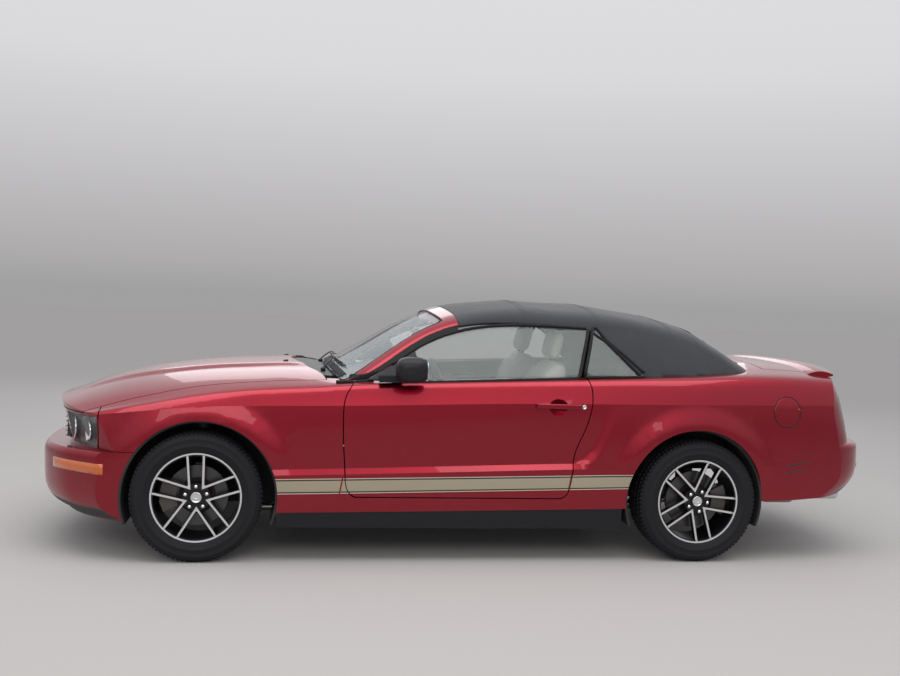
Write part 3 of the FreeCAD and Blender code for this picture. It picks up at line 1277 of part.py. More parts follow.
def make_cabin(store):
    base = rounded(share_box(seat_base_shares), 2 * seat_round)
    y = out(seat_side_y_share)
    width = out(seat_width_share)
    x0, z0, height, depth = back_shares
    back = rounded(tilted_box(out(depth), width, up(height), Vector(along(x0), y, up(z0)), back_lean),
                   1.6 * seat_round)
    x1, z1, rest_height, rest_depth = rest_shares
    rest = rounded(tilted_box(out(rest_depth), 0.52 * width, up(rest_height),
                              Vector(along(x1) - out(rest_depth), y,
                                                                               up(z1)), back_lean), seat_round)
    seat = fuse(base, back, rest)
    plinth = box(along(0.5147), along(0.6471), y - 0.4 * width, y + 0.4 * width, up(0.1527), up(0.2438))
    seat = fuse(seat, plinth)
    store["front_seats"] = both(seat)
    bench = rounded(share_box(rear_base_shares), 2 * seat_round)
    x0, z0, height, depth = rear_back_shares
    bench_back = rounded(tilted_box(out(depth), 2 * out(0.5967), up(height), Vector(along(x0), 0, up(z0)),
                                    8.0),
                         seat_round)
    store["rear_seat"] = fuse(bench, bench_back)

    half = out(dash_half_share)
    dash = side_prism(dash_outline_shares, -half, half)
    console = rounded(share_box(console_shares), seat_round)
    x, y, z = along(wheel_centre_shares[0]), out(wheel_centre_shares[1]), up(wheel_centre_shares[2])
    pitch = math.radians(wheel_pitch)
    axis = Vector(math.sin(pitch), 0, math.cos(pitch))
    centre = Vector(x, y, z)
    length = column_length_share * wheelbase
    column_end = centre - axis * (2.2 * column_radius + seat_gap)
    column = Part.makeCylinder(column_radius, length, column_end, axis * -1)
    store["dashboard"] = fuse(dash, console, column)
    ring = Part.makeTorus(steering_radius, steering_grip, centre, axis)
    boss = Part.makeCylinder(1.8 * column_radius, 1.6 * column_radius,
                             centre - axis * (2.2 * column_radius), axis)
    up_way = Vector(-math.cos(pitch), 0, math.sin(pitch))
    spokes = []
    for turn in (0.25, 0.75, 0.5):
        a = turn * 2 * math.pi
        way = up_way * math.cos(a) + Vector(0, 1, 0) * math.sin(a)
        spokes.append(Part.makeCylinder(0.8 * steering_grip, steering_radius, centre - axis * column_radius,
                                        way * steering_radius + axis * column_radius))
    store["steering_wheel"] = fuse(ring, boss, *spokes)


seat_round = 28.0


def soft_oval(centre, half_x, half_z):
    """Closed curve in side view between an ellipse and a rectangle."""
    points = []
    for k in range(16):
        a = k * math.pi / 8
        c, s = math.cos(a), math.sin(a)
        dx, dz = math.copysign(abs(c) ** 0.7, c), math.copysign(abs(s) ** 0.7, s)
        points.append(centre + Vector(half_x * dx, 0, half_z * dz))
    made = Part.BSplineCurve()
    made.interpolate(Points=points, PeriodicFlag=True)
    return Part.Wire([made.toShape()])


def make_trim(store, form):
    x, z = along(mirror_centre_shares[0]), up(mirror_centre_shares[1])
    wide, high = mirror_half_length, mirror_half_height
    ovals = [soft_oval(Vector(x - (1 - k) * 0.25 * wide, out(a), z), k * wide, k * high)
             for a, k in mirror_section_shares]
    head = Part.makeLoft(ovals, True, False)
    head = head.common(box(x - 2 * wide, along(mirror_glass_share), out(0.8), out(1.2), z - 2 * high,
                           z + 2 * high))
    foot = share_box(mirror_foot_shares)
    sail = side_prism(sail_shares, out(0.7), out(1.0))
    layer = side_layer(glass_gap - clearance, glass_gap + 2 * glass_thickness)
    sail = biggest(sail.common(layer).common(roof_form(rail_drop + glass_edge)))
    mirror = fuse(head, foot, sail)
    outer = form.common(box(along(0.2), along(0.6), out(0.5), out(1.2), up(0.4), up(1.0)))
    mirror = biggest(mirror.cut(outer))
    store["mirror_right"] = mirror
    store["mirror_left"] = mirrored(mirror)

    wires = []
    rows = list(zip(spoiler_front_shares, spoiler_rear_shares, spoiler_height_shares))
    rows = [(a, b, z, -1) for a, b, z in reversed(rows[1:])] + [(a, b, z, 1) for a, b, z in rows]
    for (xa, ya), (xb, yb), z, side in rows:
        y, t = side * out(ya), spoiler_thickness
        a, b = along(xa), along(xb)
        c = a + 0.4 * (b - a)
        low = up(z)
        wires.append(Part.Wire([spline([Vector(b, y, low + 0.55 * t), Vector(c, y, low + t),
                                        Vector(a, y, low + 0.4 * t)],
                                       (0.0, 0.6, 1.0)),
                                spline([Vector(a, y, low + 0.4 * t), Vector(c, y, low),
                                        Vector(b, y, low + 0.3 * t)],
                                       (0.0, 0.4, 1.0)),
                                line(Vector(b, y, low + 0.3 * t), Vector(b, y, low + 0.55 * t))]))
    wing = Part.makeLoft(wires, True, False)
    post = share_box(pedestal_shares)
    end_post = box(along(1.6494), along(1.7273), out(0.6287), out(0.6755), up(0.6996), up(0.7463))
    posts = [post, mirrored(post), end_post, mirrored(end_post)]
    spoiler = fuse(wing, *posts).cut(form)
    store["spoiler"] = biggest(spoiler)


grille_rows = 6
grille_columns = 12
grille_bar = 5.0
grille_depth = 22.0


def make_grille(store):
    """Crossed bars on a leaning plate behind the opening."""
    (x0, x1), (y0, y1), (z0, z1) = grille_zone_shares
    lean = (front_face_lean_shares[1][1] - front_face_lean_shares[0][1]) * front_overhang
    lean /= up(front_face_lean_shares[1][0] - front_face_lean_shares[0][0])
    back_x = along(-0.7933)
    w, low, high = out(y1) - seat_gap, up(z0) + seat_gap, up(z1) - shut_gap
    bars = []
    bars.append(box(back_x, back_x + grille_bar, -w, w, low, high))
    for k in range(grille_rows):
        z = low + (high - low) * (k + 0.5) / grille_rows
        bars.append(box(back_x - grille_depth, back_x, -w, w, z - grille_bar / 2, z + grille_bar / 2))
    for k in range(grille_columns):
        y = -w + 2 * w * (k + 0.5) / grille_columns
        bars.append(box(back_x - grille_depth, back_x, y - grille_bar / 2, y + grille_bar / 2, low, high))
    store["grille"] = fuse(bars[0], *bars[1:])


if __name__ == "__main__":
    store = {}
    form = make_body(store)
    make_house(store, form)
    make_wheels(store)
    make_running_gear(store)
    make_chassis(store)
    make_cabin(store)
    make_trim(store, form)
    make_grille(store)
    os.makedirs("parts", exist_ok=True)
    for name, shape in store.items():
        print(name, shape.isValid(), len(shape.Solids), round(shape.Volume / 1e6, 2))
        shape.exportStep("parts/" + name + ".step")
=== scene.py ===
"""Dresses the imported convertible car: paint, glass, cloth top, wheels, lamps, cabin, trim and a plain studio."""

import math
from contextlib import contextmanager

import bmesh
import bpy
import numpy as np
from mathutils import Matrix, Vector
from mathutils.bvhtree import BVHTree


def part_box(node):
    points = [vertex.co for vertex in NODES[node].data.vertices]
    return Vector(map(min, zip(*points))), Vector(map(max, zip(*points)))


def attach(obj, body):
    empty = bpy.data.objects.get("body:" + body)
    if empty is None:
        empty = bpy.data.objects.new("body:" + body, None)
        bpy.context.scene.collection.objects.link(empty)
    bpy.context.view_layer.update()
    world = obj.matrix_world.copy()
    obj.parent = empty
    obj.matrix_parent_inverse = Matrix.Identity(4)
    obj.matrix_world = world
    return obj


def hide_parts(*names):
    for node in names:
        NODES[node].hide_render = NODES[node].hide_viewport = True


bl_info = {
    "name": "Convertible Car Dressing",
    "version": (1, 0, 0),
    "blender": (4, 5, 0),
    "location": "View3D > Sidebar > Car",
    "description": "Builds the finishes, tyres, cloth top, seats, trim and studio of a packed convertible car",
    "category": "Object",
}

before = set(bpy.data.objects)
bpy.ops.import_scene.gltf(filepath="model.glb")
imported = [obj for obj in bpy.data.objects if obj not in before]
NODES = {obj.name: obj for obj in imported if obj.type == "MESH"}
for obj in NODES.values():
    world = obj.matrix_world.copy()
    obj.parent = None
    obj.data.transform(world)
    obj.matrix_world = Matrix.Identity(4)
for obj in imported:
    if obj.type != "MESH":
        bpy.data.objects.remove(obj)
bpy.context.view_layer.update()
SIDES = {"left": -1.0, "right": 1.0}
ENDS = ("front", "rear")
WHEELS = {f"{end}_{side_name}": (end, side) for end in ENDS for side_name, side in SIDES.items()}

# Turn of the first spoke pair as a share of a full turn, and the seats' distance from the middle plane
RIM_TURNS = {"front": 0.0056, "rear": 0.1333}
SEAT_OFFSET = 0.395
FRONT_AXLE = -1.4925
FINISHES = {}

# Ways of rays, places that they start from, how far they reach, in metres
DOWN, AHEAD, ASTERN = (0, 0, -1), (-1, 0, 0), (1, 0, 0)
ABOVE, BESIDE, BEHIND = 2.0, 1.5, 3.0
REACH = 3.0

# Radius at which a turned shape closes on its axis, and distance at which points merge
TIP = 0.0001
MERGE = 1e-6


def place(along):
    """X of a place given in millimetres behind the front axle."""
    return FRONT_AXLE + along / 1000.0


def middle(node):
    low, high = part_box(node)
    return (low + high) / 2


# Curves and tables


def follow(rows, x):
    """Smooth value at x of (x, value) rows, passing through each row."""
    xs, ys = zip(*rows)
    if x <= xs[0]:
        return ys[0]
    if x >= xs[-1]:
        return ys[-1]
    i = max(k for k in range(len(xs) - 1) if xs[k] <= x)

    def slope(k):
        low, high = max(k - 1, 0), min(k + 1, len(xs) - 1)
        return (ys[high] - ys[low]) / (xs[high] - xs[low])

    step = xs[i + 1] - xs[i]
    t = (x - xs[i]) / step
    rise = t * t * (3 - 2 * t)
    bend = slope(i) * step * t * (1 - t) ** 2 + slope(i + 1) * step * t * t * (t - 1)
    return ys[i] * (1 - rise) + ys[i + 1] * rise + bend


def smooth_path(points, steps=8, closed=False):
    """Points of a Catmull-Rom line through the given points, so many steps to each stretch."""
    points = [Vector(p) for p in points]
    n = len(points)
    made = []
    for i in range(n if closed else n - 1):
        a, b, c, d = (points[(i + k) % n] if closed else points[min(max(i + k, 0), n - 1)] for k in (-1, 0, 1, 2))
        for s in range(steps):
            t = s / steps
            made.append(0.5 * ((2 * b) + (c - a) * t + (2 * a - 5 * b + 4 * c - d) * t * t
                               + (3 * b - a - 3 * c + d) * t ** 3))
    if not closed:
        made.append(points[-1])
    return made


# Node trees


class Tree:
    """A node tree under construction."""

    def __init__(self, tree):
        self.tree = tree
        tree.nodes.clear()

    def feed(self, socket, value):
        """Links a Value or a socket to the socket, or sets its number."""
        value = getattr(value, "socket", value)
        if isinstance(value, bpy.types.NodeSocket):
            self.tree.links.new(value, socket)
        else:
            socket.default_value = value

    def node(self, kind, settings=(), inputs=(), output=0):
        """Adds a node, its settings first, and returns one output."""
        made = self.tree.nodes.new(kind)
        for label, setting in dict(settings).items():
            if label == "stops":
                ramp = made.color_ramp.elements
                while len(ramp) < len(setting):
                    ramp.new(1.0)
                for element, (at, colour) in zip(ramp, setting):
                    element.position = at
                    element.color = (*colour, 1.0)
            else:
                setattr(made, label, setting)
        for label, value in dict(inputs).items():
            self.feed(made.inputs[label], value)
        return made.outputs[output]


def maths_method(operation, swap=False):
    """A method that joins a Value to another term with a Math node."""
    return lambda value, other=None: value.maths(operation, other, swap)


class Value:
    """A number that changes over a surface. Arithmetic on it adds Math nodes."""

    def __init__(self, finish, socket):
        self.finish = finish
        self.socket = socket

    def maths(self, operation, other=None, swap=False, clamp=False):
        terms = [self] if other is None else [self, other]
        if swap:
            terms.reverse()
        return self.finish.node("ShaderNodeMath", {"operation": operation, "use_clamp": clamp},
                                dict(enumerate(terms)))

    __add__ = __radd__ = maths_method("ADD")
    __sub__, __rsub__ = maths_method("SUBTRACT"), maths_method("SUBTRACT", swap=True)
    __mul__ = __rmul__ = maths_method("MULTIPLY")
    __truediv__ = maths_method("DIVIDE")
    __abs__ = maths_method("ABSOLUTE")
    lowest, highest = maths_method("MINIMUM"), maths_method("MAXIMUM")

    def step(self, at, width):
        """0 below at, 1 above it, with a ramp of that width."""
        return ((self - at) / width + 0.5).maths("ADD", 0.0, clamp=True)


class Finish(Tree):
    """A material under construction round one Principled shader."""

    def __init__(self, name, colour=(0.8, 0.8, 0.8), rough=0.5, **inputs):
        self.material = bpy.data.materials.new(name)
        self.material.use_nodes = True
        super().__init__(self.material.node_tree)
        output = self.tree.nodes.new("ShaderNodeOutputMaterial")
        self.shader = self.tree.nodes.new("ShaderNodeBsdfPrincipled")
        self.tree.links.new(self.shader.outputs["BSDF"], output.inputs["Surface"])
        self.set(Base_Color=(*colour, 1.0), Roughness=rough, **inputs)
        self.material.diffuse_color = (*colour, 1.0)
        FINISHES[name] = self.material

    def set(self, **inputs):
        """Feeds the shader's inputs, each named with _ for a space."""
        for label, value in inputs.items():
            self.feed(self.shader.inputs[label.replace("_", " ")], value)

    def node(self, *made, **how):
        return Value(self, super().node(*made, **how))

    def parts(self, vector):
        """The three parts of a vector as Values."""
        split = super().node("ShaderNodeSeparateXYZ", inputs={0: vector}).node
        return [Value(self, split.outputs[k]) for k in range(3)]

    def where(self, kind="Object"):
        return self.node("ShaderNodeTexCoord", output=kind)

    def spot(self):
        """Object coordinates as three Values."""
        return self.parts(self.where())

    def facing(self):
        """The surface's own direction as three Values."""
        return self.parts(self.node("ShaderNodeNewGeometry", output="Normal"))

    def noise(self, scale, detail=3.0, rough=0.5, where=None):
        return self.node("ShaderNodeTexNoise", inputs={"Vector": where or self.where(), "Scale": scale,
                                                       "Detail": detail, "Roughness": rough})

    def cells(self, scale, feature="DISTANCE_TO_EDGE", output=0):
        return self.node("ShaderNodeTexVoronoi", {"feature": feature}, {"Vector": self.where(), "Scale": scale}, output)

    def mix(self, factor, a, b):
        made = super().node("ShaderNodeMix", {"data_type": "RGBA"}, {0: factor}).node
        for k, colour in ((6, a), (7, b)):
            self.feed(made.inputs[k], (*colour, 1.0) if isinstance(colour, tuple) else colour)
        return Value(self, made.outputs[2])

    def mottled(self, colour, factor, dark, light):
        """The colour between its darker and its lighter shade."""
        return self.mix(factor, shade(colour, dark), shade(colour, light))

    def bump(self, height, distance, strength=1.0):
        self.set(Normal=self.node("ShaderNodeBump", inputs={"Height": height, "Distance": distance,
                                                            "Strength": strength}))

    def radius(self, centre):
        """Distance from a line along Y through centre, and the way there along X and Z."""
        x, _, z = self.spot()
        dx, dz = x - centre[0], z - centre[2]
        return (dx * dx + dz * dz).maths("SQRT"), dx, dz


def shade(colour, share):
    """The colour times share, no brighter than white."""
    return tuple(min(1.0, c * share) for c in colour)


# Mesh and piece helpers


def finish_piece(piece, body, finish):
    """Gives a finished piece its material and lets it ride on a body."""
    if isinstance(finish, str):
        finish = FINISHES[finish]
    piece.data.materials.clear()
    piece.data.materials.append(finish)
    for face in getattr(piece.data, "polygons", []):
        face.use_smooth = True
    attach(piece, body)
    return piece


def new_piece(name, mesh, body, finish):
    """A finished piece from a mesh or from a list of meshes."""
    if isinstance(mesh, list):
        mesh = joined(mesh, name)
    piece = bpy.data.objects.new(name, mesh)
    bpy.context.scene.collection.objects.link(piece)
    return finish_piece(piece, body, finish)


def mesh_from(name, points, faces):
    mesh = bpy.data.meshes.new(name)
    mesh.from_pydata([tuple(p) for p in points], [], faces)
    mesh.validate()
    return mesh


def grid_faces(rows, columns, wrap_rows=False, wrap_columns=False):
    faces = []
    for i in range(rows if wrap_rows else rows - 1):
        for j in range(columns if wrap_columns else columns - 1):
            a, b = i * columns + j, i * columns + (j + 1) % columns
            c, d = ((i + 1) % rows) * columns + (j + 1) % columns, ((i + 1) % rows) * columns + j
            faces.append((a, b, c, d))
    return faces


@contextmanager
def shaping(made, *sources):
    """A bmesh of the sources to work on, written to the mesh in the end."""
    shape = bmesh.new()
    for source in sources:
        shape.from_mesh(source)
    yield shape
    shape.to_mesh(made)
    shape.free()


def outward(mesh, way=None):
    """Merges doubles and turns a closed mesh's faces outwards, or an open one's towards way."""
    with shaping(mesh, mesh) as shape:
        bmesh.ops.remove_doubles(shape, verts=shape.verts, dist=MERGE)
        bmesh.ops.recalc_face_normals(shape, faces=shape.faces)
        if way and sum(face.normal.dot(Vector(way)) for face in shape.faces) < 0:
            bmesh.ops.reverse_faces(shape, faces=shape.faces)
    return mesh


def joined(meshes, name):
    """One mesh out of several."""
    made = bpy.data.meshes.new(name)
    with shaping(made, *meshes):
        pass
    return made


def bevelled_box(low, high, bevel, segments=3):
    """Mesh of a box with rounded edges."""
    made = bpy.data.meshes.new("box")
    with shaping(made) as shape:
        bmesh.ops.create_cube(shape, size=1.0)
        for vert in shape.verts:
            vert.co = [(low[k] + high[k]) / 2 + vert.co[k] * (high[k] - low[k]) for k in range(3)]
        bmesh.ops.bevel(shape, geom=shape.edges[:], offset=bevel, segments=segments, profile=0.6, affect="EDGES")
    return made


def spun(profile, centre, steps=96):
    """Closed ring turned about a line along Y through centre; profile rows are (radius, y)."""
    points = []
    for i in range(steps):
        turn = math.tau * i / steps
        for radius, y in profile:
            points.append((centre[0] + radius * math.sin(turn), centre[1] + y, centre[2] + radius * math.cos(turn)))
    return outward(mesh_from("spun", points, grid_faces(steps, len(profile), True, True)))


def tube(points, radius, name, sides=10, closed=False, flat=1.0):
    """Mesh swept along points; flat squeezes the section across the line's up direction."""
    points = [Vector(p) for p in points]
    n = len(points)
    rings = []
    for i, point in enumerate(points):
        before = points[i - 1] if i or closed else point
        after = points[(i + 1) % n] if i < n - 1 or closed else point
        way = (after - before).normalized()
        across = way.cross(Vector((0, 0, 1)))
        if across.length < 1e-4:
            across = way.cross(Vector((0, 1, 0)))
        across.normalize()
        lift = across.cross(way)
        for k in range(sides):
            turn = math.tau * k / sides
            rings.append(point + across * radius * math.cos(turn) + lift * radius * flat * math.sin(turn))
    faces = grid_faces(n, sides, closed, True)
    if not closed:
        faces += [tuple(range(sides))[::-1], tuple(range((n - 1) * sides, n * sides))]
    return outward(mesh_from(name, rings, faces))


class Skin:
    """The outside of some CAD nodes or meshes, to lay trim on."""

    def __init__(self, *sources):
        shape = bmesh.new()
        for source in sources:
            shape.from_mesh(NODES[source].data if isinstance(source, str) else source)
        self.tree = BVHTree.FromBMesh(shape)
        shape.free()

    def hit(self, start, way):
        """Place and normal where a ray meets the skin, or two times None."""
        return self.tree.ray_cast(Vector(start), Vector(way).normalized(), REACH)[:2]

    def hits(self, starts, way):
        """Places and normals where rays from starts meet the skin."""
        found = [self.hit(start, way) for start in starts]
        found = [spot for spot in found if spot[0] is not None]
        return [where for where, _ in found], [normal for _, normal in found]

    def side(self, x, z, side, lift=0.0):
        """Point of the side at x, z, lifted off it."""
        where, _ = self.hit((x, side * BESIDE, z), (0, -side, 0))
        return None if where is None else where + Vector((0, side * lift, 0))

    def top(self, x, y, lift=0.0):
        where, _ = self.hit((x, y, ABOVE), DOWN)
        return None if where is None else where + Vector((0, 0, lift))


# Geometry Nodes


class Recipe(Tree):
    """A Geometry Nodes tree with named inputs that ends in Realize Instances and Set Material."""

    def __init__(self, name, **inputs):
        super().__init__(bpy.data.node_groups.new(name, "GeometryNodeTree"))
        face = self.tree.interface
        for way in ("OUTPUT", "INPUT"):
            face.new_socket("Geometry", in_out=way, socket_type="NodeSocketGeometry")
        self.sockets = {}
        for label, default in {**inputs, "Material": None}.items():
            kind = {int: "Int", float: "Float", tuple: "Vector"}.get(type(default), "Material")
            made = face.new_socket(label, in_out="INPUT", socket_type="NodeSocket" + kind)
            if default is not None:
                made.default_value = default
            self.sockets[label] = made.identifier
        self.start = self.tree.nodes.new("NodeGroupInput")

    def given(self, label):
        return self.start.outputs[label]

    def moved(self, geometry, **inputs):
        return self.node("GeometryNodeTransform", inputs={"Geometry": geometry, **inputs})

    def turned(self, geometry, about_x=0.0, about_y=0.0):
        return self.moved(geometry, Rotation=(about_x, about_y, 0.0))

    def circle(self, count, radius):
        return self.node("GeometryNodeCurvePrimitiveCircle", {"mode": "RADIUS"}, {
            "Resolution": self.given(count), "Radius": self.given(radius)})

    def cylinder(self, sides, radius, depth):
        return self.node("GeometryNodeMeshCylinder", {"fill_type": "NGON"}, {
            "Vertices": sides, "Side Segments": 1, "Radius": radius, "Depth": depth})

    def set_on(self, points, instance, **inputs):
        return self.node("GeometryNodeInstanceOnPoints", inputs={"Points": points, "Instance": instance, **inputs})

    def merged(self, parts):
        join = self.tree.nodes.new("GeometryNodeJoinGeometry")
        for part in parts:
            self.feed(join.inputs[0], part)
        return join.outputs[0]

    def close(self, geometry):
        real = self.node("GeometryNodeRealizeInstances", inputs={0: geometry})
        painted = self.node("GeometryNodeSetMaterial", inputs={"Geometry": real, "Material": self.given("Material")})
        self.feed(self.tree.nodes.new("NodeGroupOutput").inputs[0], painted)

    def make(self, name, body, finish, base=None, **values):
        """Runs the tree on a base mesh and returns the result as a plain piece."""
        holder = bpy.data.objects.new(name, base or bpy.data.meshes.new(name))
        bpy.context.scene.collection.objects.link(holder)
        modifier = holder.modifiers.new("recipe", "NODES")
        modifier.node_group = self.tree
        values["Material"] = FINISHES[finish]
        for label, value in values.items():
            modifier[self.sockets[label]] = value
        bake(holder)
        return finish_piece(holder, body, finish)


# Finishes


def inner_side(finish):
    """1 on faces that look towards the car's middle or down, 0 on outer faces."""
    _, y, _ = finish.spot()
    _, ny, nz = finish.facing()
    return (y * ny * -1.0).step(0.18, 0.08).highest((nz * -1.0).step(0.55, 0.1))


def paint_finish(name, settings, striped):
    """Candy red over fine flake, with the beige side stripe where striped."""
    paint = Finish(name, tuple(settings.colour), 0.3, Metallic=0.0, Coat_Roughness=0.03, Coat_IOR=1.38)
    flake = paint.cells(1.0 / settings.flake, "F1", "Color")
    sparkle = paint.node("ShaderNodeSeparateColor", inputs={0: flake})
    colour = paint.mottled(settings.colour, sparkle, 0.75, 1.35)
    metal = 0.86 + sparkle * 0.10
    rough = 0.30 + sparkle * 0.10
    if striped:
        beige, thin, dark = stripe_bands(paint)
        colour = paint.mix(dark, colour, (0.012, 0.004, 0.005))
        colour = paint.mix(beige, colour, paint.mottled(settings.stripe, paint.noise(900.0, 2.0), 0.93, 1.05))
        colour = paint.mix(thin, colour, (0.60, 0.55, 0.44))
        metal = metal * (1.0 - dark)
        rough = rough * (1.0 - dark) + dark * 0.35
    _, _, z = paint.spot()
    dust = (1.0 - z.step(0.36, 0.30)) * paint.noise(14.0, 4.0) * 0.05
    colour = paint.mix(dust, colour, (0.22, 0.17, 0.14))
    hidden = inner_side(paint)
    outer = 1.0 - hidden
    primer = (0.035, 0.033, 0.034)
    paint.set(Base_Color=paint.mix(hidden, colour, primer), Metallic=metal * outer,
              Roughness=rough * outer + hidden * 0.55, Coat_Weight=outer)
    paint.bump(paint.noise(160.0, 2.0), 0.0003, 0.05)


# Side stripe: edges as (start, rise, height), ends, breaks at the door's joints, and shares of its height
STRIPE_TOP, STRIPE_LOW = (0.9665, 0.0232, 0.446), (0.9635, 0.0244, 0.366)
STRIPE_ENDS = (-1.105, 0.86)
STRIPE_BREAKS, BREAK_HALF, BREAK_SLANT = (-0.7515, 0.4795), 0.0042, 0.16
BEIGE_HALF, LINE_HALF, RIM_HALF = 0.36, 0.455, 0.505


def stripe_bands(paint):
    """Where the side stripe's beige field, its thin lines and its dark rim lie."""
    x, y, z = paint.spot()
    top, low = ((x + start) * rise + height for start, rise, height in (STRIPE_TOP, STRIPE_LOW))
    off_middle = abs((z - low) / (top - low) - 0.5)
    soft = 0.012
    shown = abs(y).step(0.78, 0.01) * x.step(STRIPE_ENDS[0], 0.001) * (1.0 - x.step(STRIPE_ENDS[1], 0.001))
    slant = x - (z - 0.42) * BREAK_SLANT
    for at in STRIPE_BREAKS:
        shown = shown * abs(slant - at).step(BREAK_HALF, 0.0012)
    dark = (1.0 - off_middle.step(RIM_HALF, soft)) * shown
    return (1.0 - off_middle.step(BEIGE_HALF, soft)) * shown, off_middle.step(LINE_HALF, soft) * dark, dark


def plastic_finish(name, colour, rough, grain=1400.0, depth=0.0004, **inputs):
    """Moulded plastic with a fine leathery grain."""
    plastic = Finish(name, colour, rough, **inputs)
    mottle = plastic.noise(45.0, 4.0)
    plastic.set(Base_Color=plastic.mottled(colour, mottle, 0.82, 1.18), Roughness=rough - 0.06 + mottle * 0.12)
    plastic.bump(plastic.cells(grain).lowest(0.3), depth, 0.35)


def metal_finish(name, colour, rough, brushed=False, dirt=0.0):
    """Bare metal, cast or brushed, with grime on it."""
    metal = Finish(name, colour, rough, Metallic=1.0)
    scale = (30.0, 30.0, 1800.0) if brushed else (60.0, 60.0, 60.0)
    streak = metal.noise(1.0, where=metal.node("ShaderNodeMapping", inputs={"Vector": metal.where(), "Scale": scale}))
    tone = metal.mottled(colour, streak, 0.88, 1.06)
    if dirt:
        grime = metal.noise(9.0, 6.0).step(0.52, 0.5) * dirt
        tone = metal.mix(grime, tone, (0.06, 0.05, 0.045))
        metal.set(Metallic=1.0 - grime)
    metal.set(Base_Color=tone, Roughness=rough + (streak - 0.5) * (0.2 if brushed else 0.08))
    metal.bump(streak, 0.0002, 0.2)


def glass_finish(name, tint, body):
    """Clear tinted glass; body is how much of the view each of its two faces takes away."""
    glass = Finish(name, tint, 0.02, Specular_IOR_Level=1.0, Coat_Weight=1.0, Coat_IOR=1.9, Coat_Roughness=0.0)
    dust = glass.noise(6.0, 5.0).step(0.62, 0.4)
    glass.set(Base_Color=glass.mottled(tint, dust, 1.0, 1.1), Alpha=body + dust * 0.012)
    glass.material.surface_render_method = "BLENDED"


def lens_finish(name, colour, ribs=260.0, glow=0.0):
    """Coloured lens with vertical prisms moulded in it."""
    lens = Finish(name, colour, 0.08, IOR=1.49, Transmission_Weight=0.55, Coat_Weight=1.0)
    _, y, z = lens.spot()
    waves = (y * ribs).maths("SINE") * (z * ribs * 1.3).maths("SINE")
    lens.set(Base_Color=lens.mottled(colour, waves * 0.5 + 0.5, 0.7, 1.2))
    lens.bump(waves, 0.0006, 0.5)
    if glow:
        lens.set(Emission_Color=(*colour, 1.0), Emission_Strength=glow)


def cloth_finish(name, colour, pitch):
    """Canvas of crossed threads, read from the sheet's own map in metres."""
    cloth = Finish(name, colour, 0.9, Sheen_Weight=0.25, Sheen_Roughness=0.5)
    u, v, _ = cloth.parts(cloth.where("UV"))
    turns = math.tau / pitch
    over = ((u + v) * turns * 0.5).maths("SINE").step(0.0, 0.6)
    threads = abs((u * turns).maths("SINE")) * over + abs((v * turns).maths("SINE")) * (1.0 - over)
    fuzz = cloth.noise(700.0, 2.0)
    tone = cloth.mottled(colour, cloth.noise(3.0, 5.0), 0.72, 1.30)
    cloth.set(Base_Color=cloth.mix(threads * 0.35 + fuzz * 0.2, tone, shade(colour, 0.45)),
              Roughness=0.82 + fuzz * 0.15)
    cloth.bump(threads * 0.12 + cloth.noise(7.0) * 6.0, 0.0022, 0.5)


def leather_finish(name, colour):
    leather = Finish(name, colour, 0.5, Coat_Weight=0.08)
    worn = leather.noise(5.0, 5.0)
    leather.set(Base_Color=leather.mottled(colour, worn, 0.86, 1.06), Roughness=0.42 + worn * 0.18)
    leather.bump(leather.cells(420.0).lowest(0.25) + worn * 0.6, 0.0009, 0.35)


def rubber_finish(name, colour):
    rubber = Finish(name, colour, 0.62, Specular_IOR_Level=0.3)
    dust = rubber.noise(22.0, 5.0)
    rubber.set(Base_Color=rubber.mottled(colour, dust, 0.75, 1.6), Roughness=0.55 + dust * 0.25)
    rubber.bump(rubber.noise(600.0), 0.0004, 0.3)
    return rubber


# Machined line of a spoke, from radius and share of a turn near the hub to those near the rim
SPOKE_PAIRS = 5
SPOKE_LINE = ((0.062, 0.006), (0.228, 0.0708))


def rim_finish(name, centre, turn):
    """Black alloy with thin machined lines down its spokes and round its lip."""
    rim = Finish(name, (0.02, 0.02, 0.022), 0.3, Metallic=0.3, Specular_IOR_Level=0.35)
    radius, dx, dz = rim.radius(centre)
    _, ny, _ = rim.facing()
    angle = dz.maths("ARCTAN2", dx) / math.tau
    pair = ((angle + (0.25 - turn)) * float(SPOKE_PAIRS) + (20 + 0.5)).maths("FRACT") - 0.5
    local = abs(pair) * (math.tau / SPOKE_PAIRS)
    across, along = radius * local.maths("SINE"), radius * local.maths("COSINE")
    start, stop = (Vector((r * math.cos(a * math.tau), r * math.sin(a * math.tau))) for r, a in SPOKE_LINE)
    way = (stop - start).normalized()
    off = (across - start.y) * way.x - (along - start.x) * way.y
    outer_face = (ny * math.copysign(1.0, centre[1])).step(0.80, 0.1)
    hub = radius.step(0.036, 0.002)
    line = (1.0 - abs(off).step(0.0052, 0.0012)) * hub * (1.0 - radius.step(0.222, 0.002))
    web = (1.0 - off.step(0.0, 0.0015)) * (1.0 - radius.step(0.074, 0.002)) * hub
    machined = outer_face * line.highest(web).highest(radius.step(0.2235, 0.0015))
    rings = (radius * 5200.0).maths("SINE")
    bright = rim.mix(rings * 0.5 + 0.5, (0.70, 0.70, 0.71), (0.86, 0.86, 0.87))
    rim.set(Base_Color=rim.mix(machined, (0.006, 0.006, 0.008), bright), Metallic=machined,
            Roughness=0.34 + machined * (rings * 0.04 - 0.06))
    rim.bump(rings * machined, 0.0001, 0.15)


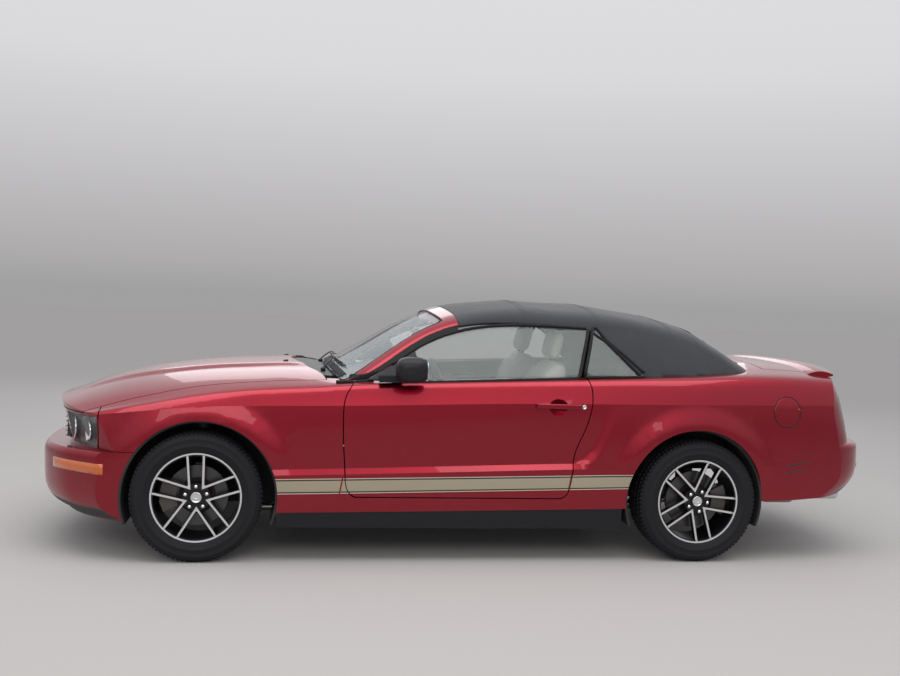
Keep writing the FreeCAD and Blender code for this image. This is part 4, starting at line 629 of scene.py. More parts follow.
def disc_finish(name, centre):
    """Iron disc, swept bright by its pads and rusty at its hub."""
    disc = Finish(name, (0.10, 0.10, 0.10), 0.38, Metallic=0.8)
    radius, _, _ = disc.radius(centre)
    rings = disc.noise(1.0, 2.0, where=disc.node("ShaderNodeCombineXYZ", inputs={0: radius * 2600.0}))
    swept = radius.step(0.095, 0.004)
    rust = disc.mix(disc.noise(40.0, 5.0), (0.020, 0.018, 0.017), (0.05, 0.045, 0.042))
    disc.set(Base_Color=disc.mix(swept, rust, disc.mix(rings, (0.055, 0.054, 0.056), (0.11, 0.11, 0.112))),
             Roughness=0.30 + (1.0 - swept) * 0.4)
    disc.bump(rings, 0.0002, 0.3)


# Settings that a user would change


def colour_setting(name, description, default):
    return bpy.props.FloatVectorProperty(name=name, description=description, subtype="COLOR", default=default,
                                         min=0.0, max=1.0)


def length_setting(name, description, default, least):
    return bpy.props.FloatProperty(name=name, description=description, default=default, min=least, unit="LENGTH")


def count_setting(name, description, default, least):
    return bpy.props.IntProperty(name=name, description=description, default=default, min=least)


class PaintLook(bpy.types.PropertyGroup):
    colour: colour_setting("Paint", "Colour of the body", (0.270, 0.0035, 0.0165))
    stripe: colour_setting("Stripe", "Colour of the side stripe", (0.36, 0.31, 0.22))
    flake: length_setting("Flake", "Size of the metal flake", 0.0007, 0.0001)


class TopLook(bpy.types.PropertyGroup):
    colour: colour_setting("Canvas", "Colour of the soft top", (0.030, 0.034, 0.042))
    thread: length_setting("Thread", "Distance between threads of the canvas", 0.0016, 0.0005)
    thickness: length_setting("Thickness", "Thickness of the canvas", 0.003, 0.001)
    shoulder: length_setting("Shoulder", "How far the rounding runs in from the edge", 0.11, 0.02)


class CabinLook(bpy.types.PropertyGroup):
    leather: colour_setting("Leather", "Colour of the seats", (0.60, 0.58, 0.53))
    plastic: colour_setting("Plastic", "Colour of the dashboard", (0.025, 0.025, 0.027))


class WheelLook(bpy.types.PropertyGroup):
    blocks: count_setting("Tread blocks", "Tread blocks round one tyre", 88, 20)
    groove: length_setting("Groove", "Depth of the tread", 0.007, 0.001)
    nuts: count_setting("Wheel nuts", "Nuts on each wheel", 5, 3)
    nut_circle: length_setting("Nut circle", "Radius of the circle of nuts", 0.0572, 0.03)


class StudioLook(bpy.types.PropertyGroup):
    floor: colour_setting("Floor", "Colour of the floor", (0.50, 0.49, 0.485))
    light: bpy.props.FloatProperty(name="Soft light", description="Strength of the light from all round",
                                   default=0.62, min=0.0)
    lens: bpy.props.FloatProperty(name="Lens", description="Focal length of the camera", default=39.9, min=10.0,
                                  unit="CAMERA")


LOOKS = {"car_paint": PaintLook, "car_top": TopLook, "car_cabin": CabinLook, "car_wheels": WheelLook,
         "car_studio": StudioLook}


def look(name):
    return getattr(bpy.context.scene, name)


class CarOperator(bpy.types.Operator):
    """Shared ending of the operators that build pieces"""

    bl_options = {"REGISTER", "UNDO"}

    def execute(self, context):
        self.build(context)
        return {"FINISHED"}


def coat_nodes(finish, *names):
    for name in names:
        data = NODES[name].data
        data.materials.clear()
        data.materials.append(FINISHES[finish])


def aimed(mesh, where, way, roll=0.0):
    """Turns a mesh built along +Y so that it looks along way, and sets it at where."""
    way = Vector(way).normalized()
    side = way.cross(Vector((0, 0, 1))).normalized()
    turn = Matrix((side, way, side.cross(way))).transposed().to_4x4()
    mesh.transform(Matrix.Translation(Vector(where)) @ turn @ Matrix.Rotation(roll, 4, "Y"))
    return mesh


def ring(profile, steps=48):
    """Closed ring round +Y at the origin from (radius, y) rows."""
    return spun(profile, (0, 0, 0), steps)


def solid_parts(node):
    """The separate solids of a CAD node as merged copies."""
    shape = bmesh.new()
    shape.from_mesh(NODES[node].data)
    bmesh.ops.remove_doubles(shape, verts=shape.verts, dist=MERGE)
    seen, parts = set(), []
    for first in shape.verts:
        if first in seen:
            continue
        seen.add(first)
        group = [first]
        for vert in group:
            fresh = [v for v in (edge.other_vert(vert) for edge in vert.link_edges) if v not in seen]
            seen.update(fresh)
            group += fresh
        index = {v: i for i, v in enumerate(group)}
        faces = [[index[v] for v in f.verts] for f in shape.faces if f.verts[0] in index]
        parts.append(mesh_from("part", [v.co for v in group], faces))
    shape.free()
    return parts


def chosen_faces(mesh, keep, flip=False):
    """Copy of a mesh with only the faces whose direction keep accepts."""
    made = bpy.data.meshes.new("faces")
    with shaping(made, mesh) as shape:
        shape.normal_update()
        bmesh.ops.delete(shape, geom=[f for f in shape.faces if not keep(f.normal)], context="FACES")
        if flip:
            bmesh.ops.reverse_faces(shape, faces=shape.faces)
    return made


def walled(mesh, thickness, offset=-1.0):
    """Gives an open mesh its wall."""
    holder = bpy.data.objects.new("holder", mesh)
    bpy.context.scene.collection.objects.link(holder)
    thicken(holder, thickness, offset)
    made = holder.data
    bpy.data.objects.remove(holder)
    return made


def ribbon(points, normals, widths, name, thickness=0.0015, crown=0.8):
    """Flat strip with sloping rims along points that lie on a surface with the given normals."""
    rows = []
    for i, point in enumerate(points):
        way = (points[min(i + 1, len(points) - 1)] - points[max(i - 1, 0)]).normalized()
        normal = Vector(normals[i]).normalized()
        across = way.cross(normal).normalized() * widths[i] / 2
        lift = normal * thickness
        rows += [point - across, point - across * crown + lift, point + across * crown + lift, point + across]
    faces = grid_faces(len(points), 4, False, True)
    faces += [(0, 1, 2, 3), tuple(len(rows) - 4 + k for k in (3, 2, 1, 0))]
    return outward(mesh_from(name, rows, faces))


def pillow(half, power, raised=None, corner=0.07, count=(44, 36)):
    """Closed pad round the origin; half holds its half sizes, raised(u, v) adds height to its upper face."""
    points = []
    for face in (1, -1):
        for i in range(count[0] + 1):
            u = math.sin((i / count[0] - 0.5) * math.pi)
            for j in range(count[1] + 1):
                v = math.sin((j / count[1] - 0.5) * math.pi)
                rim = max(0.0, (1 - abs(u) ** power) * (1 - abs(v) ** power)) ** (1 / power)
                lift = raised(u, v) * rim if raised and face > 0 else 0.0
                points.append((half[0] * u * (1 - corner * v ** 4), half[1] * v * (1 - corner * u ** 4),
                               face * half[2] * rim + lift))
    rows, columns = count[0] + 1, count[1] + 1
    faces = grid_faces(rows, columns)
    faces += [tuple(k + rows * columns for k in reversed(face)) for face in faces]
    return outward(mesh_from("pillow", points, faces))


# Cloth settings of a pad while it is filled, and the frames that it takes
FILLING = {"quality": 3, "mass": 0.3, "tension_stiffness": 25.0, "compression_stiffness": 25.0, "use_pressure": True}
FILLING_FRAMES = 20


def puffed(mesh, voxel=0.006, cap=0.022, pressure=4.0):
    """The pad after it is filled: remeshed, blown up by a short cloth simulation and smoothed."""
    scene = bpy.context.scene
    pad = bpy.data.objects.new("pad", mesh)
    scene.collection.objects.link(pad)
    remesh = pad.modifiers.new("remesh", "REMESH")
    remesh.mode = "VOXEL"
    remesh.voxel_size = voxel
    bake(pad)
    cloth = pad.modifiers.new("filling", "CLOTH")
    for label, value in {**FILLING, "uniform_pressure_force": pressure}.items():
        setattr(cloth.settings, label, value)
    cloth.settings.effector_weights.gravity = 0.0
    cloth.point_cache.frame_start = 1
    cloth.point_cache.frame_end = FILLING_FRAMES
    for frame_number in range(1, FILLING_FRAMES + 1):
        scene.frame_set(frame_number)
    swollen = pad.evaluated_get(bpy.context.evaluated_depsgraph_get()).data.vertices
    moved = []
    for before, after in zip(pad.data.vertices, swollen):
        shift = after.co - before.co
        moved.append(before.co + shift * min(1.0, cap / max(shift.length, 1e-9)))
    pad.modifiers.clear()
    scene.frame_set(1)
    for vert, where in zip(pad.data.vertices, moved):
        vert.co = where
    pad.modifiers.new("smooth", "SMOOTH").iterations = 3
    bake(pad)
    made = pad.data
    bpy.data.objects.remove(pad)
    return made


def leaned(mesh, where, lean=0.0, yaw=0.0):
    mesh.transform(Matrix.Translation(Vector(where)) @ Matrix.Rotation(yaw, 4, "Z") @ Matrix.Rotation(lean, 4, "Y"))
    return mesh


def sewn(name, lines, finish):
    """One piece of the short threads set one after another along the lines."""
    recipe = Recipe("stitches", Spacing=0.009, Length=0.0062, Thread=0.0008)
    line = recipe.node("GeometryNodeMeshToCurve", inputs={0: recipe.given("Geometry")})
    spots = recipe.node("GeometryNodeCurveToPoints", {"mode": "LENGTH"}, {0: line, "Length": recipe.given("Spacing")})
    thread = recipe.cylinder(5, recipe.given("Thread"), recipe.given("Length"))
    recipe.close(recipe.set_on(spots, thread, Rotation=spots.node.outputs["Rotation"]))
    threads = []
    for points in lines:
        if len(points) > 4:
            base = bpy.data.meshes.new("line")
            base.from_pydata(points, [(k, k + 1) for k in range(len(points) - 1)], [])
            threads.append(recipe.make("thread", "chassis", finish, base))
    stitches = joined([thread.data for thread in threads], "stitches")
    for thread in threads:
        bpy.data.objects.remove(thread)
    return new_piece(name, stitches, "chassis", finish)


def laid(skin, starts, way, lift=0.0):
    """Points where rays from starts along way meet a skin, lifted back along the ray."""
    way = Vector(way).normalized()
    return [where - way * lift for where in skin.hits(starts, way)[0]]


def spread(first, last, count):
    """That many values from first to last, both ends included."""
    return [first + (last - first) * k / (count - 1) for k in range(count)]


def walked(start, stop, step, met):
    """First value that meets a condition on the way from start to stop, or None."""
    value = start
    while (stop - value) * step > 0:
        if met(value):
            return value
        value += step
    return None


class PaintBody(CarOperator):
    """Paints the outer panels and draws the side stripe"""

    bl_idname = "car.paint_body"
    bl_label = "Paint body"

    def build(self, context):
        paint_finish("body_paint", look("car_paint"), striped=False)
        paint_finish("striped_paint", look("car_paint"), striped=True)
        plastic_finish("satin_black", (0.010, 0.011, 0.014), 0.40, Specular_IOR_Level=0.30)
        plastic_finish("gloss_black", (0.006, 0.006, 0.008), 0.16, Coat_Weight=1.0)
        rubber_finish("seal_rubber", (0.010, 0.010, 0.011))
        rubber_finish("top_seal", (0.006, 0.006, 0.007))
        metal_finish("bright_metal", (0.74, 0.74, 0.75), 0.12)
        coat_nodes("body_paint", "hood", "trunk_lid", "spoiler", "front_bumper", "rear_bumper", "windshield_frame")
        coat_nodes("striped_paint", "front_fenders", "body_sides", "door_left", "door_right")
        coat_nodes("gloss_black", "grille")
        coat_nodes("satin_black", "sill_trims", "cowl", "mirror_left", "mirror_right")


class FitUnderside(CarOperator):
    """Finishes the floor, axles, engine and exhaust"""

    bl_idname = "car.fit_underside"
    bl_label = "Finish underside"

    def build(self, context):
        plastic_finish("underbody", (0.020, 0.020, 0.021), 0.75, grain=300.0, depth=0.0015)
        metal_finish("cast_iron", (0.16, 0.15, 0.14), 0.55, dirt=0.7)
        metal_finish("engine_alloy", (0.42, 0.42, 0.41), 0.45, dirt=0.4)
        metal_finish("exhaust_steel", (0.58, 0.56, 0.53), 0.24, brushed=True, dirt=0.25)
        coat_nodes("underbody", "floor_pan", "inner_wings", "rear_floor")
        coat_nodes("cast_iron", "front_suspension", "rear_axle", "knuckle_left", "knuckle_right")
        coat_nodes("engine_alloy", "powertrain")
        coat_nodes("exhaust_steel", "exhaust")


# Step of searches for an edge in metres, the panes' ends in millimetres behind the front axle, rows of a pane
EDGE_STEP = 0.002
DOOR_END, QUARTER_START = 2033, 2066
PANE_ROWS = 14


def door_belt(x):
    """Height of the lower edge of the door's pane at x millimetres behind the front axle."""
    return 0.948 + (x - 1000) * 0.0000485 if x < DOOR_END else 1.003 + (x - DOOR_END) * 0.00324


def highest(skin, x, side):
    """Height where a pane's side begins, coming down at x."""
    return walked(1.40, 0.94, -EDGE_STEP, lambda z: skin.side(place(x), z, side) is not None)


def lowest(skin, x, side):
    """Height where a node's side begins, coming up at x."""
    def met(z):
        spot = skin.side(place(x), z, side)
        return spot is not None and spot.y * side > 0.4
    return walked(0.94, 1.40, EDGE_STEP, met)


def fitted_sheet(skin, side, places):
    """Smooth surface through a pane's outer face, good beyond its edges too."""
    def terms(x, z):
        u, w = (x - 1600) / 1000, z - 1.1
        return 1.0, u, u * u, u ** 3, w, u * w, w * w

    rows, values = [], []
    for x in places:
        for z in np.arange(1.05, 1.30, 0.012):
            spot = skin.side(place(x), float(z), side)
            if spot is not None and 0.5 < abs(spot.y) < 0.785:
                rows.append(terms(x, float(z)))
                values.append(abs(spot.y))
    fit = np.linalg.lstsq(np.array(rows), np.array(values), rcond=None)[0]

    def lie(x, z):
        return Vector((place(x), side * float(np.dot(fit, terms(x, z))), z))

    return lie


class GlazeWindows(CarOperator):
    """Puts tinted glass in the windows"""

    bl_idname = "car.glaze_windows"
    bl_label = "Glaze windows"

    def build(self, context):
        glass_finish("screen_glass", (0.30, 0.42, 0.46), 0.17)
        glass_finish("side_glass", (0.10, 0.17, 0.155), 0.19)
        coat_nodes("screen_glass", "windshield")
        for side_name, side in SIDES.items():
            door = Skin(f"door_glass_{side_name}")
            lie = fitted_sheet(door, side, range(1060, 2080, 40))
            columns = [(x, door_belt(x), highest(door, x, side)) for x in (1000 + 12.8 * k for k in range(88))]
            pane = self.pane(columns, lie, side, f"door_pane_{side_name}", f"door_{side_name}")
            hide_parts(f"door_glass_{side_name}")
            upright = [(x, low) for x, low, _ in columns if x > 2020]
            self.edging([column for column in columns if column[0] < 2040], columns, upright, lie, side,
                        f"door_glass_edge_{side_name}", f"door_{side_name}")
            self.sail(lie, side_name, side)
            rear = Skin("rear_glass")
            lie = fitted_sheet(rear, side, range(2150, 2340, 16))
            columns = [(x, 1.004 + (x - QUARTER_START) * 0.00003,
                        min(highest(rear, x, side) or 1.018, 1.010 + (x - 2064) * 0.00340))
                       for x in (QUARTER_START + 8.6 * k for k in range(41))]
            self.pane(columns, lie, side, f"quarter_pane_{side_name}", "chassis")
            upright = [(x, high) for x, _, high in columns if x < 2140]
            self.edging(columns, columns, upright, lie, side, f"quarter_glass_edge_{side_name}", "chassis")
        window = max(solid_parts("rear_glass"), key=lambda part: -abs(sum(v.co.y for v in part.vertices)))
        back = new_piece("back_window", window, "chassis", "side_glass")
        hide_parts("rear_glass")

    def pane(self, columns, lie, side, name, body):
        """Glass between the low and high edge of each column, 4 mm thick."""
        points = []
        for x, low, high in columns:
            points += [lie(x, z) for z in spread(low, max(high or low, low + 0.0005), PANE_ROWS + 1)]
        sheet = outward(mesh_from("pane", points, grid_faces(len(columns), PANE_ROWS + 1)), (0, side, 0))
        return new_piece(name, walled(sheet, 0.004), body, "side_glass")

    def edging(self, belt, columns, upright, lie, side, name, body):
        """Black rubber round the pane: along its top, down its upright edge and along both sides of the belt."""
        lines = (([(x, high) for x, low, high in columns if high - low > 0.02], 0.003, 0.0, 0.0085),
                 ([(x, low) for x, low, _ in belt], 0.006, 0.003, 0.0075),
                 ([(x, low) for x, low, _ in belt], -0.014, 0.002, 0.007),
                 (upright, 0.003, 0.0, 0.0095))
        parts = [tube([lie(x, z) + Vector((0, side * out, up)) for x, z in line], radius, "rubber", 8)
                 for line, out, up, radius in lines if len(line) > 2]
        new_piece(name, parts, body, "top_seal")

    def sail(self, lie, side_name, side):
        """Black corner panel between pillar, belt and window, and the seals under and before the pillar."""
        frame_skin = Skin("windshield_frame")
        feet = [(x, lowest(frame_skin, x, side)) for x in range(770, 1400, 12)]
        feet = [(x, z) for x, z in feet if z is not None]
        low, high = 0.962, 1.134
        points = []
        for z in spread(low, high, 25):
            front = min(1150.0, max([x for x, foot in feet if foot <= z + 0.004] or [800]))
            rear = max(1168 - (z - low) * 260, front + 1)
            points += [lie(x, z) + Vector((0, side * 0.0025, 0)) for x in spread(front, rear, 17)]
        sheet = outward(mesh_from("sail", points, grid_faces(25, 17)), (0, side, 0))
        new_piece(f"sail_panel_{side_name}", walled(sheet, 0.003), f"door_{side_name}", "satin_black")
        rows = []
        for x, z in feet:
            row = []
            for k in range(6):
                spot = frame_skin.side(place(x), z + 0.001 + 0.0060 * k, side, 0.0016)
                row.append(spot if spot is not None else (row[-1] + Vector((0, 0, 0.006)) if row else None))
            if None not in row:
                rows.append(row)
        sheet = mesh_from("pillar_seal", [p for row in rows for p in row], grid_faces(len(rows), 6))
        new_piece(f"pillar_seal_{side_name}", walled(outward(sheet, (0, side, 0)), 0.0012), "chassis", "top_seal")
        ground = Skin("front_fenders", "body_sides", f"door_{side_name}")
        foot = [ground.top(place(700 + 8 * k), side * 0.803, 0.003) for k in range(26)]
        new_piece(f"pillar_foot_seal_{side_name}", tube([p for p in foot if p is not None], 0.011, "foot", 8),
                  "chassis", "top_seal")


# Soft top: the middle line of the roof, its fall to the sides, and the leaning side walls, in metres.
ROOF_LINE = [(place(a), b / 1000.0) for a, b in (
    (1195, 1311), (1275, 1342), (1370, 1369), (1513, 1396), (1720, 1413), (1927, 1415), (2175, 1407), (2400, 1387),
    (2600, 1354), (2760, 1316), (2880, 1256), (3000, 1186), (3120, 1112), (3240, 1030))]
SIDE_LOW = [(place(a), b / 1000.0) for a, b in (
    (984, 790), (1500, 808), (2033, 812), (2400, 811), (2800, 800), (3009, 785), (3260, 745))]
SIDE_HIGH = [(place(a), b / 1000.0) for a, b in (
    (984, 600), (1385, 628), (1800, 655), (2100, 660), (2400, 650), (2800, 610), (3009, 575), (3260, 530))]
CLOTH_EDGE = [(place(a), b / 1000.0) for a, b in (
    (1300, 1245), (1370, 1262), (1450, 1276), (1556, 1287), (1700, 1291), (1850, 1289), (2000, 1280), (2122, 1264),
    (2170, 1232), (2212, 1206), (2300, 1118), (2402, 1016), (2440, 1008), (3200, 1008))]

# How far the front edge of the cloth runs back at each distance from the middle
HEADER_SWEEP = ((0.0, 0.0), (0.3, 0.006), (0.56, 0.026), (0.66, 0.032), (0.8, 0.034))
SHEET_ROWS = 120
ROOF_FALL = 0.083 / 0.7 ** 2
SIDE_LEVELS = (1.0, 1.275)
SHORTEST_WALL = 0.004

# Opening of the back window: its ends along the car and half its width
WINDOW_FRONT, WINDOW_REAR, WINDOW_HALF = place(2800), place(3058), 0.46


def side_line(x, z):
    low, high = follow(SIDE_LOW, x), follow(SIDE_HIGH, x)
    share = (z - SIDE_LEVELS[0]) / (SIDE_LEVELS[1] - SIDE_LEVELS[0])
    bow = 0.0094 * max(0.0, 1 - (2 * share - 1) ** 2)
    return low + (high - low) * share + bow


def roof_height(x, y):
    return follow(ROOF_LINE, x) - ROOF_FALL * y * y


def top_corner(x):
    """Where the roof meets the side wall at x."""
    y = 0.6
    for _ in range(12):
        y = side_line(x, roof_height(x, y))
    return y, roof_height(x, y)


def top_row(x, shoulder, counts=(14, 9, 20)):
    """Half a section of the soft top at x, from its edge up and over to the middle."""
    y1, z1 = top_corner(x)
    edge = follow(CLOTH_EDGE, x)
    z0 = z1 - max(SHORTEST_WALL, min(0.055, (z1 - edge) * 0.85))
    y2 = y1 - min(shoulder, y1 * 0.5)
    start, stop = (side_line(x, z0), z0), (y2, roof_height(x, y2))
    edge = min(edge, z0 - 0.001)
    row = []
    for i in range(counts[0]):
        z = edge + (z0 - edge) * i / counts[0]
        row.append((side_line(x, z), z))
    for i in range(counts[1]):
        t = i / counts[1]
        a, b, c = (1 - t) ** 2, 2 * t * (1 - t), t * t
        row.append((a * start[0] + b * y1 + c * stop[0], a * start[1] + b * z1 + c * stop[1]))
    for i in range(counts[2] + 1):
        y = y2 * (1 - i / counts[2])
        row.append((y, roof_height(x, y)))
    return row


def sew_grid(rows, name, keep):
    """Sheet through rows of points with a UV map in metres; keep chooses faces by their middle."""
    count = len(rows[0])
    points = [Vector(p) for row in rows for p in row]

    def lengths(line):
        total = [0.0]
        for a, b in zip(line, line[1:]):
            total.append(total[-1] + (Vector(b) - Vector(a)).length)
        return total

    along = lengths([row[count // 2] for row in rows])
    across = [[r - total[-1] / 2 for r in total] for total in map(lengths, rows)]
    mesh = bpy.data.meshes.new(name)
    with shaping(mesh) as shape:
        verts = [shape.verts.new(p) for p in points]
        layer = shape.loops.layers.uv.new("cloth")
        for corners in grid_faces(len(rows), count):
            if not keep(sum((points[k] for k in corners), Vector()) / 4):
                continue
            face = shape.faces.new([verts[k] for k in corners])
            for loop, k in zip(face.loops, corners):
                loop[layer].uv = (along[k // count], across[k // count][k % count])
        bmesh.ops.delete(shape, geom=[v for v in shape.verts if not v.link_faces], context="VERTS")
        bmesh.ops.recalc_face_normals(shape, faces=shape.faces)
    return mesh


def thicken(piece, thickness, offset=-1.0):
    """Gives a sheet its thickness and bakes it into the mesh."""
    modifier = piece.modifiers.new("thickness", "SOLIDIFY")
    modifier.thickness = thickness
    modifier.offset = offset
    modifier.use_rim = True
    bake(piece)


def bake(piece):
    """Turns what the modifiers make into the piece's plain mesh."""
    depsgraph = bpy.context.evaluated_depsgraph_get()
    mesh = bpy.data.meshes.new_from_object(piece.evaluated_get(depsgraph))
    piece.modifiers.clear()
    piece.data = mesh


class CoverTop(CarOperator):
    """Stretches the canvas top over its bows and sews its seams"""

    bl_idname = "car.cover_top"
    bl_label = "Cover top"

    def build(self, context):
        settings = look("car_top")
        cloth_finish("canvas", tuple(settings.colour), settings.thread)
        plastic_finish("canvas_thread", (0.016, 0.018, 0.022), 0.8)
        deck = Skin("body_sides")
        bows = [place(a) for a in (1350, 1760, 2180, 2620, 2790)]
        start, stop = place(1340) + 0.0006, place(3165)
        rows = []
        for k in range(SHEET_ROWS + 1):
            share = k / SHEET_ROWS
            base = start + (stop - start) * share
            row = [self.stretched(base, share, y, z, bows, deck) for y, z in top_row(base, settings.shoulder)]
            rows.append([(x, -y, z) for x, y, z in row] + [(x, y, z) for x, y, z in reversed(row[:-1])])

        def keep(point):
            below = deck.top(point.x, point.y) if point.x > place(2440) else None
            if below is not None and point.z < below.z - 0.003:
                return False
            lap = 0.006
            return not (WINDOW_FRONT + lap < point.x < WINDOW_REAR - lap and abs(point.y) < WINDOW_HALF + 0.004)

        canvas = bpy.data.objects.new("soft_top_canvas", sew_grid(rows, "soft_top_canvas", keep))
        bpy.context.scene.collection.objects.link(canvas)
        thicken(canvas, settings.thickness)
        finish_piece(canvas, "chassis", "canvas")
        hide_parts("soft_top")
        self.seals()
        self.seams(canvas, bows)

    def stretched(self, base, share, y, z, bows, deck):
        """A point of the sheet, bent by header, bows, seams, pull and deck."""
        x = base + follow(HEADER_SWEEP, y) * (1 - min(1.0, share * 5)) ** 2
        off_bow = min(abs(x - bow) for bow in bows)
        sag = 0.0050 * min(1.0, off_bow / 0.16) ** 2 * max(0.0, 1 - (y / 0.62) ** 4)
        seam = max(math.exp(-((x - bow) / 0.010) ** 2) for bow in bows[1:])
        pull = math.sin(x * 21.0 + y * 9.0) * math.sin(x * 8.3 - z * 17.0) * 0.0011
        if z > 1.25:
            z += 0.0022 * seam - sag
        if x > place(1400) and z > 1.05:
            y += pull
            z += pull * 0.5
        if z < 1.12 or x > place(2380):
            below = deck.top(x, y)
            if below is not None and z < below.z + 0.003:
                z = below.z - 0.004
        return x, y, z

    def seams(self, canvas, bows):
        """Two rows of stitches beside each bow and a bound hem round the back window."""
        cloth = Skin(canvas.data)
        sewn("top_stitches", [laid(cloth, [(bow + shift, y, 1.6) for y in spread(-0.60, 0.60, 81)], DOWN, 0.0004)
                              for bow in bows[1:] for shift in (-0.012, 0.012)], "canvas_thread")
        near = Skin(canvas.data, "rear_glass")
        corners = [Vector((x, y, 1.7)) for x, y in ((WINDOW_FRONT, -WINDOW_HALF), (WINDOW_REAR, -WINDOW_HALF),
                                                    (WINDOW_REAR, WINDOW_HALF), (WINDOW_FRONT, WINDOW_HALF))]
        hem = laid(near, [p for a, b in zip(corners, corners[1:] + corners[:1]) for p in spread(a, b, 25)[:-1]],
                   DOWN, 0.001)
        new_piece("back_window_hem", tube(hem, 0.007, "hem", 8, closed=True, flat=0.6), "chassis", "top_seal")

    def seals(self):
        """A rubber along each side edge of the cloth, down to the deck."""
        for side_name, side in SIDES.items():
            rail = [(x, side * (side_line(x, follow(CLOTH_EDGE, x)) + 0.002), follow(CLOTH_EDGE, x) - 0.004)
                    for x in (place(1345 + 21.5 * k) for k in range(50))]
            seal = tube(smooth_path(rail, 3), 0.009, "seal", 8, flat=0.8)
            new_piece(f"rail_seal_{side_name}", seal, "chassis", "top_seal")


# Tyre wall from bead to tread as (radius, half width), and (offset, width, length, phase, drop) of the block rows
TYRE_RADIUS, TYRE_STEPS, BEAD = 0.338, 128, (0.2205, 0.085)
TYRE_WALL = (
    (0.2275, 0.094), (0.2290, 0.101), (0.2350, 0.1045), (0.2420, 0.1062), (0.2440, 0.1092), (0.2480, 0.1098),
    (0.2500, 0.1108), (0.2640, 0.1146), (0.2660, 0.1166), (0.2720, 0.1172), (0.2740, 0.1160), (0.2860, 0.1158),
    (0.3000, 0.1142), (0.3020, 0.1152), (0.3060, 0.1148), (0.3080, 0.1128), (0.3200, 0.1058))
BLOCK_ROWS = (
    (-0.0835, 0.027, 0.0165, 0.55, -0.0026), (-0.0475, 0.030, 0.0200, 0.0, 0.0), (0.0, 0.024, 0.0222, 0.5, 0.0),
    (0.0475, 0.030, 0.0200, 0.25, 0.0), (0.0835, 0.027, 0.0165, 0.8, -0.0026))
BLOCK_COUNT, BLOCK_HEIGHT, BLOCK_SUNK = 88, 0.014, 0.0001


class ShoeWheels(CarOperator):
    """Builds the tyres with their tread blocks"""

    bl_idname = "car.shoe_wheels"
    bl_label = "Fit tyres"

    def build(self, context):
        rubber_finish("tyre_rubber", (0.0070, 0.0076, 0.0098))
        settings = look("car_wheels")
        recipe = self.tread_recipe()
        tread = TYRE_RADIUS - settings.groove
        wall = [*TYRE_WALL, (tread - 0.003, 0.0985), (tread, 0.090), (tread + 0.0006, 0.045)]
        profile = [(r, -y) for r, y in wall] + [(r, y) for r, y in reversed(wall)] + [BEAD, (BEAD[0], -BEAD[1])]
        for name in WHEELS:
            centre = middle(f"tyre_{name}")
            piece = recipe.make(f"tyre_{name}_tread", f"wheel_{name}", "tyre_rubber", spun(profile, centre, TYRE_STEPS),
                                Blocks=settings.blocks, Radius=tread, Centre=centre)
            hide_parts(f"tyre_{name}")

    def tread_recipe(self):
        """Carcass plus five rings of tread blocks."""
        recipe = Recipe("tread", Blocks=BLOCK_COUNT, Radius=0.331, Centre=(0.0, 0.0, 0.0))
        parts = [recipe.given("Geometry")]
        for offset, width, length, phase, drop in BLOCK_ROWS:
            circle = recipe.moved(recipe.circle("Blocks", "Radius"), Rotation=(math.pi / 2, 0.0, 0.0),
                                  Translation=(0.0, offset, 0.0))
            shifted = recipe.turned(circle, about_y=phase * math.tau / BLOCK_COUNT)
            spots = recipe.node("GeometryNodeCurveToPoints", {"mode": "EVALUATED"}, {0: shifted})
            flat = recipe.node("ShaderNodeVectorMath", {"operation": "MULTIPLY"}, {
                0: recipe.node("GeometryNodeInputPosition"), 1: (1.0, 0.0, 1.0)})
            spoke = recipe.node("ShaderNodeVectorMath", {"operation": "NORMALIZE"}, {0: flat})
            aim = recipe.node("FunctionNodeAlignRotationToVector", {"axis": "Z", "pivot_axis": "Y"}, {"Vector": spoke})
            cube = recipe.node("GeometryNodeMeshCube", inputs={"Size": (length, width, BLOCK_HEIGHT)})
            lifted = recipe.moved(cube, Translation=(0.0, 0.0, drop - BLOCK_SUNK))
            parts.append(recipe.moved(recipe.set_on(spots, lifted, Rotation=aim), Translation=recipe.given("Centre")))
        recipe.close(recipe.merged(parts))
        return recipe


